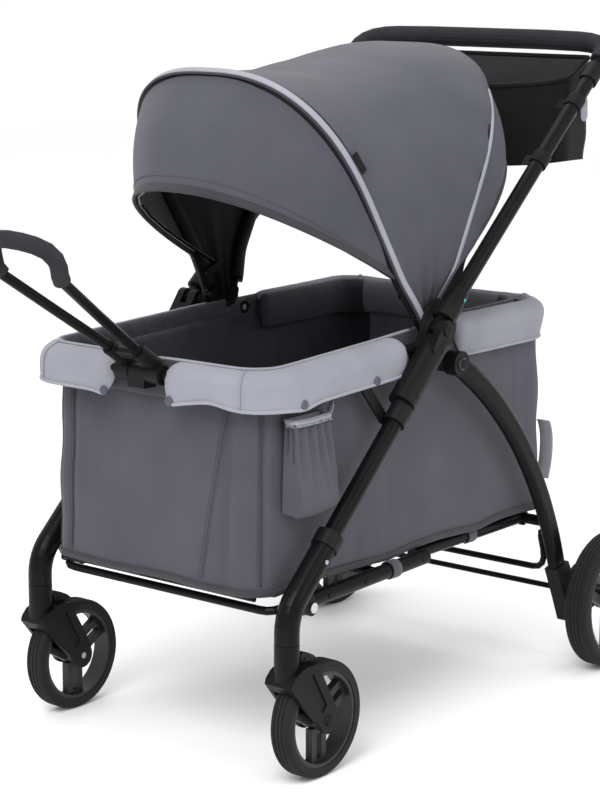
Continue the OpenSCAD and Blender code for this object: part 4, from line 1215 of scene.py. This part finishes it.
FRONT_AXLE, REAR_AXLE = (-230, 90), (521, 117)          # y and z
for sgn, nm in ((1, "left"), (-1, "right")):
    ride_disc("leg_head_rivet_" + nm, (sgn * 270, 120, 580), 0.0085, 0.0016, "mould", "front_frame")
    ride_disc("handle_pivot_cap_" + nm, (sgn * 275.2, *HANDLE_PIVOT), 0.011, 0.0028, "mould", "front_frame")
    ride_disc("sleeve_mark_" + nm, (sgn * 272.8, *handle_point(62)), 0.0028, 0.0012, "teal", "release_" + nm)
    ride_disc("front_axle_cap_" + nm, (sgn * 282.2, *FRONT_AXLE), 0.0085, 0.0022, "mould", "caster_" + nm)
    ride_disc("front_hub_cap_" + nm, (sgn * 272.6, *FRONT_AXLE), 0.0125, 0.001, "mould", "front_wheel_" + nm)
    ride_disc("rear_hub_cap_" + nm, (sgn * 327.2, *REAR_AXLE), 0.018, 0.0045, "mould", "rear_wheel_" + nm)
    ride_disc("rear_hub_screw_" + nm, (sgn * 331.6, *REAR_AXLE), 0.0048, 0.0012, "steel", "rear_wheel_" + nm)
    for k, along_rail in enumerate((60, 150, 245, 300)):
        ride_disc("rail_rivet_%s_%d" % (nm, k), (sgn * 239.7, -238 + along_rail, 262 + along_rail * 0.0258),
                  0.0042, 0.0014, "mould", "rail_front")
    for k, d_ in enumerate((60, 96)):
        ride_disc("leg_rivet_%s_%d" % (nm, k), (sgn * 273.6, *leg_point(d_)), 0.0036, 0.0012,
                  "steel" if k else "mould",
                  "front_frame")
    for k, d_ in enumerate((402, 490)):
        y, z = leg_point(d_)
        ride_disc("housing_screw_%s_%d" % (nm, k), (sgn * 276.4, y - 4.8, z + 5.1), 0.0042, 0.0012, "mould",
                  "front_frame")


for ob in (roll, edge_pipe):
    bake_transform(ob)
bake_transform(roof)
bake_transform(visor)


def longest(lines):
    return max(sum((b - a).length for a, b in zip(line, line[1:])) for line in lines)


# the longest run of each sheet across and along is computed; the lengths are not kept
for ob, grid, held, rests in ((roof, roof_rows, "stretched", ["canopy_main_bow", "canopy_rear_bow"]),
                              (visor, vrows, "stretched", ["canopy_main_bow", "canopy_visor_wire"]),
                              (drop, drows, "hung", ["canopy_rear_bow"])):
    longest(grid)
    longest(zip(*grid))

# ---------------------------------------------------------------- stage, light, camera
me = bpy.data.meshes.new("floor")
bm = bmesh.new()
bmesh.ops.create_grid(bm, x_segments=1, y_segments=1, size=9)
bm.to_mesh(me)
floor = link(bpy.data.objects.new("floor", me))
fm, fnt, fb = new_mat("pale_floor", 0.9, spec=0.2)
fb.inputs["Base Color"].default_value = (0.985, 0.985, 0.985, 1)
me.materials.append(fm)

world = bpy.data.worlds.new("studio") if not bpy.context.scene.world else bpy.context.scene.world
bpy.context.scene.world = world
world.use_nodes = True
world.node_tree.nodes["Background"].inputs[0].default_value = (1, 1, 1, 1)
world.node_tree.nodes["Background"].inputs[1].default_value = 1.0


def area(name, pos, target, size, power):
    l = bpy.data.lights.new(name, "AREA")
    l.shape = "DISK"
    l.size = size
    l.energy = power
    ob = link(bpy.data.objects.new(name, l))
    ob.location = pos
    ob.rotation_euler = (Vector(target) - Vector(pos)).to_track_quat("-Z", "Y").to_euler()


area("key", (1.0, -2.6, 3.0), (0, 0, 0.5), 2.2, 95)
area("fill", (3.2, 0.6, 1.8), (0, 0, 0.5), 2.4, 20)
area("top", (-0.6, 0.8, 3.4), (0, 0.1, 0.6), 2.0, 22)

cam = bpy.data.cameras.new("camera")
cam_ob = link(bpy.data.objects.new("camera", cam))
cam.lens = 104.46
cam.sensor_width = 36
cam.sensor_fit = "AUTO"
cam.clip_end = 60
azimuth, elevation, cam_roll = math.radians(39.04), math.radians(11.22), math.radians(0.12)
look = Vector((-math.sin(azimuth) * math.cos(elevation), math.cos(azimuth) * math.cos(elevation),
               -math.sin(elevation)))
quat = look.to_track_quat("-Z", "Y")
cam_ob.rotation_mode = "QUATERNION"
cam_ob.rotation_quaternion = quat @ Quaternion((0, 0, 1), cam_roll)
cam_ob.location = (2.324, -2.8335, 1.232)
bpy.context.scene.camera = cam_ob
bpy.context.scene.view_settings.view_transform = "Standard"
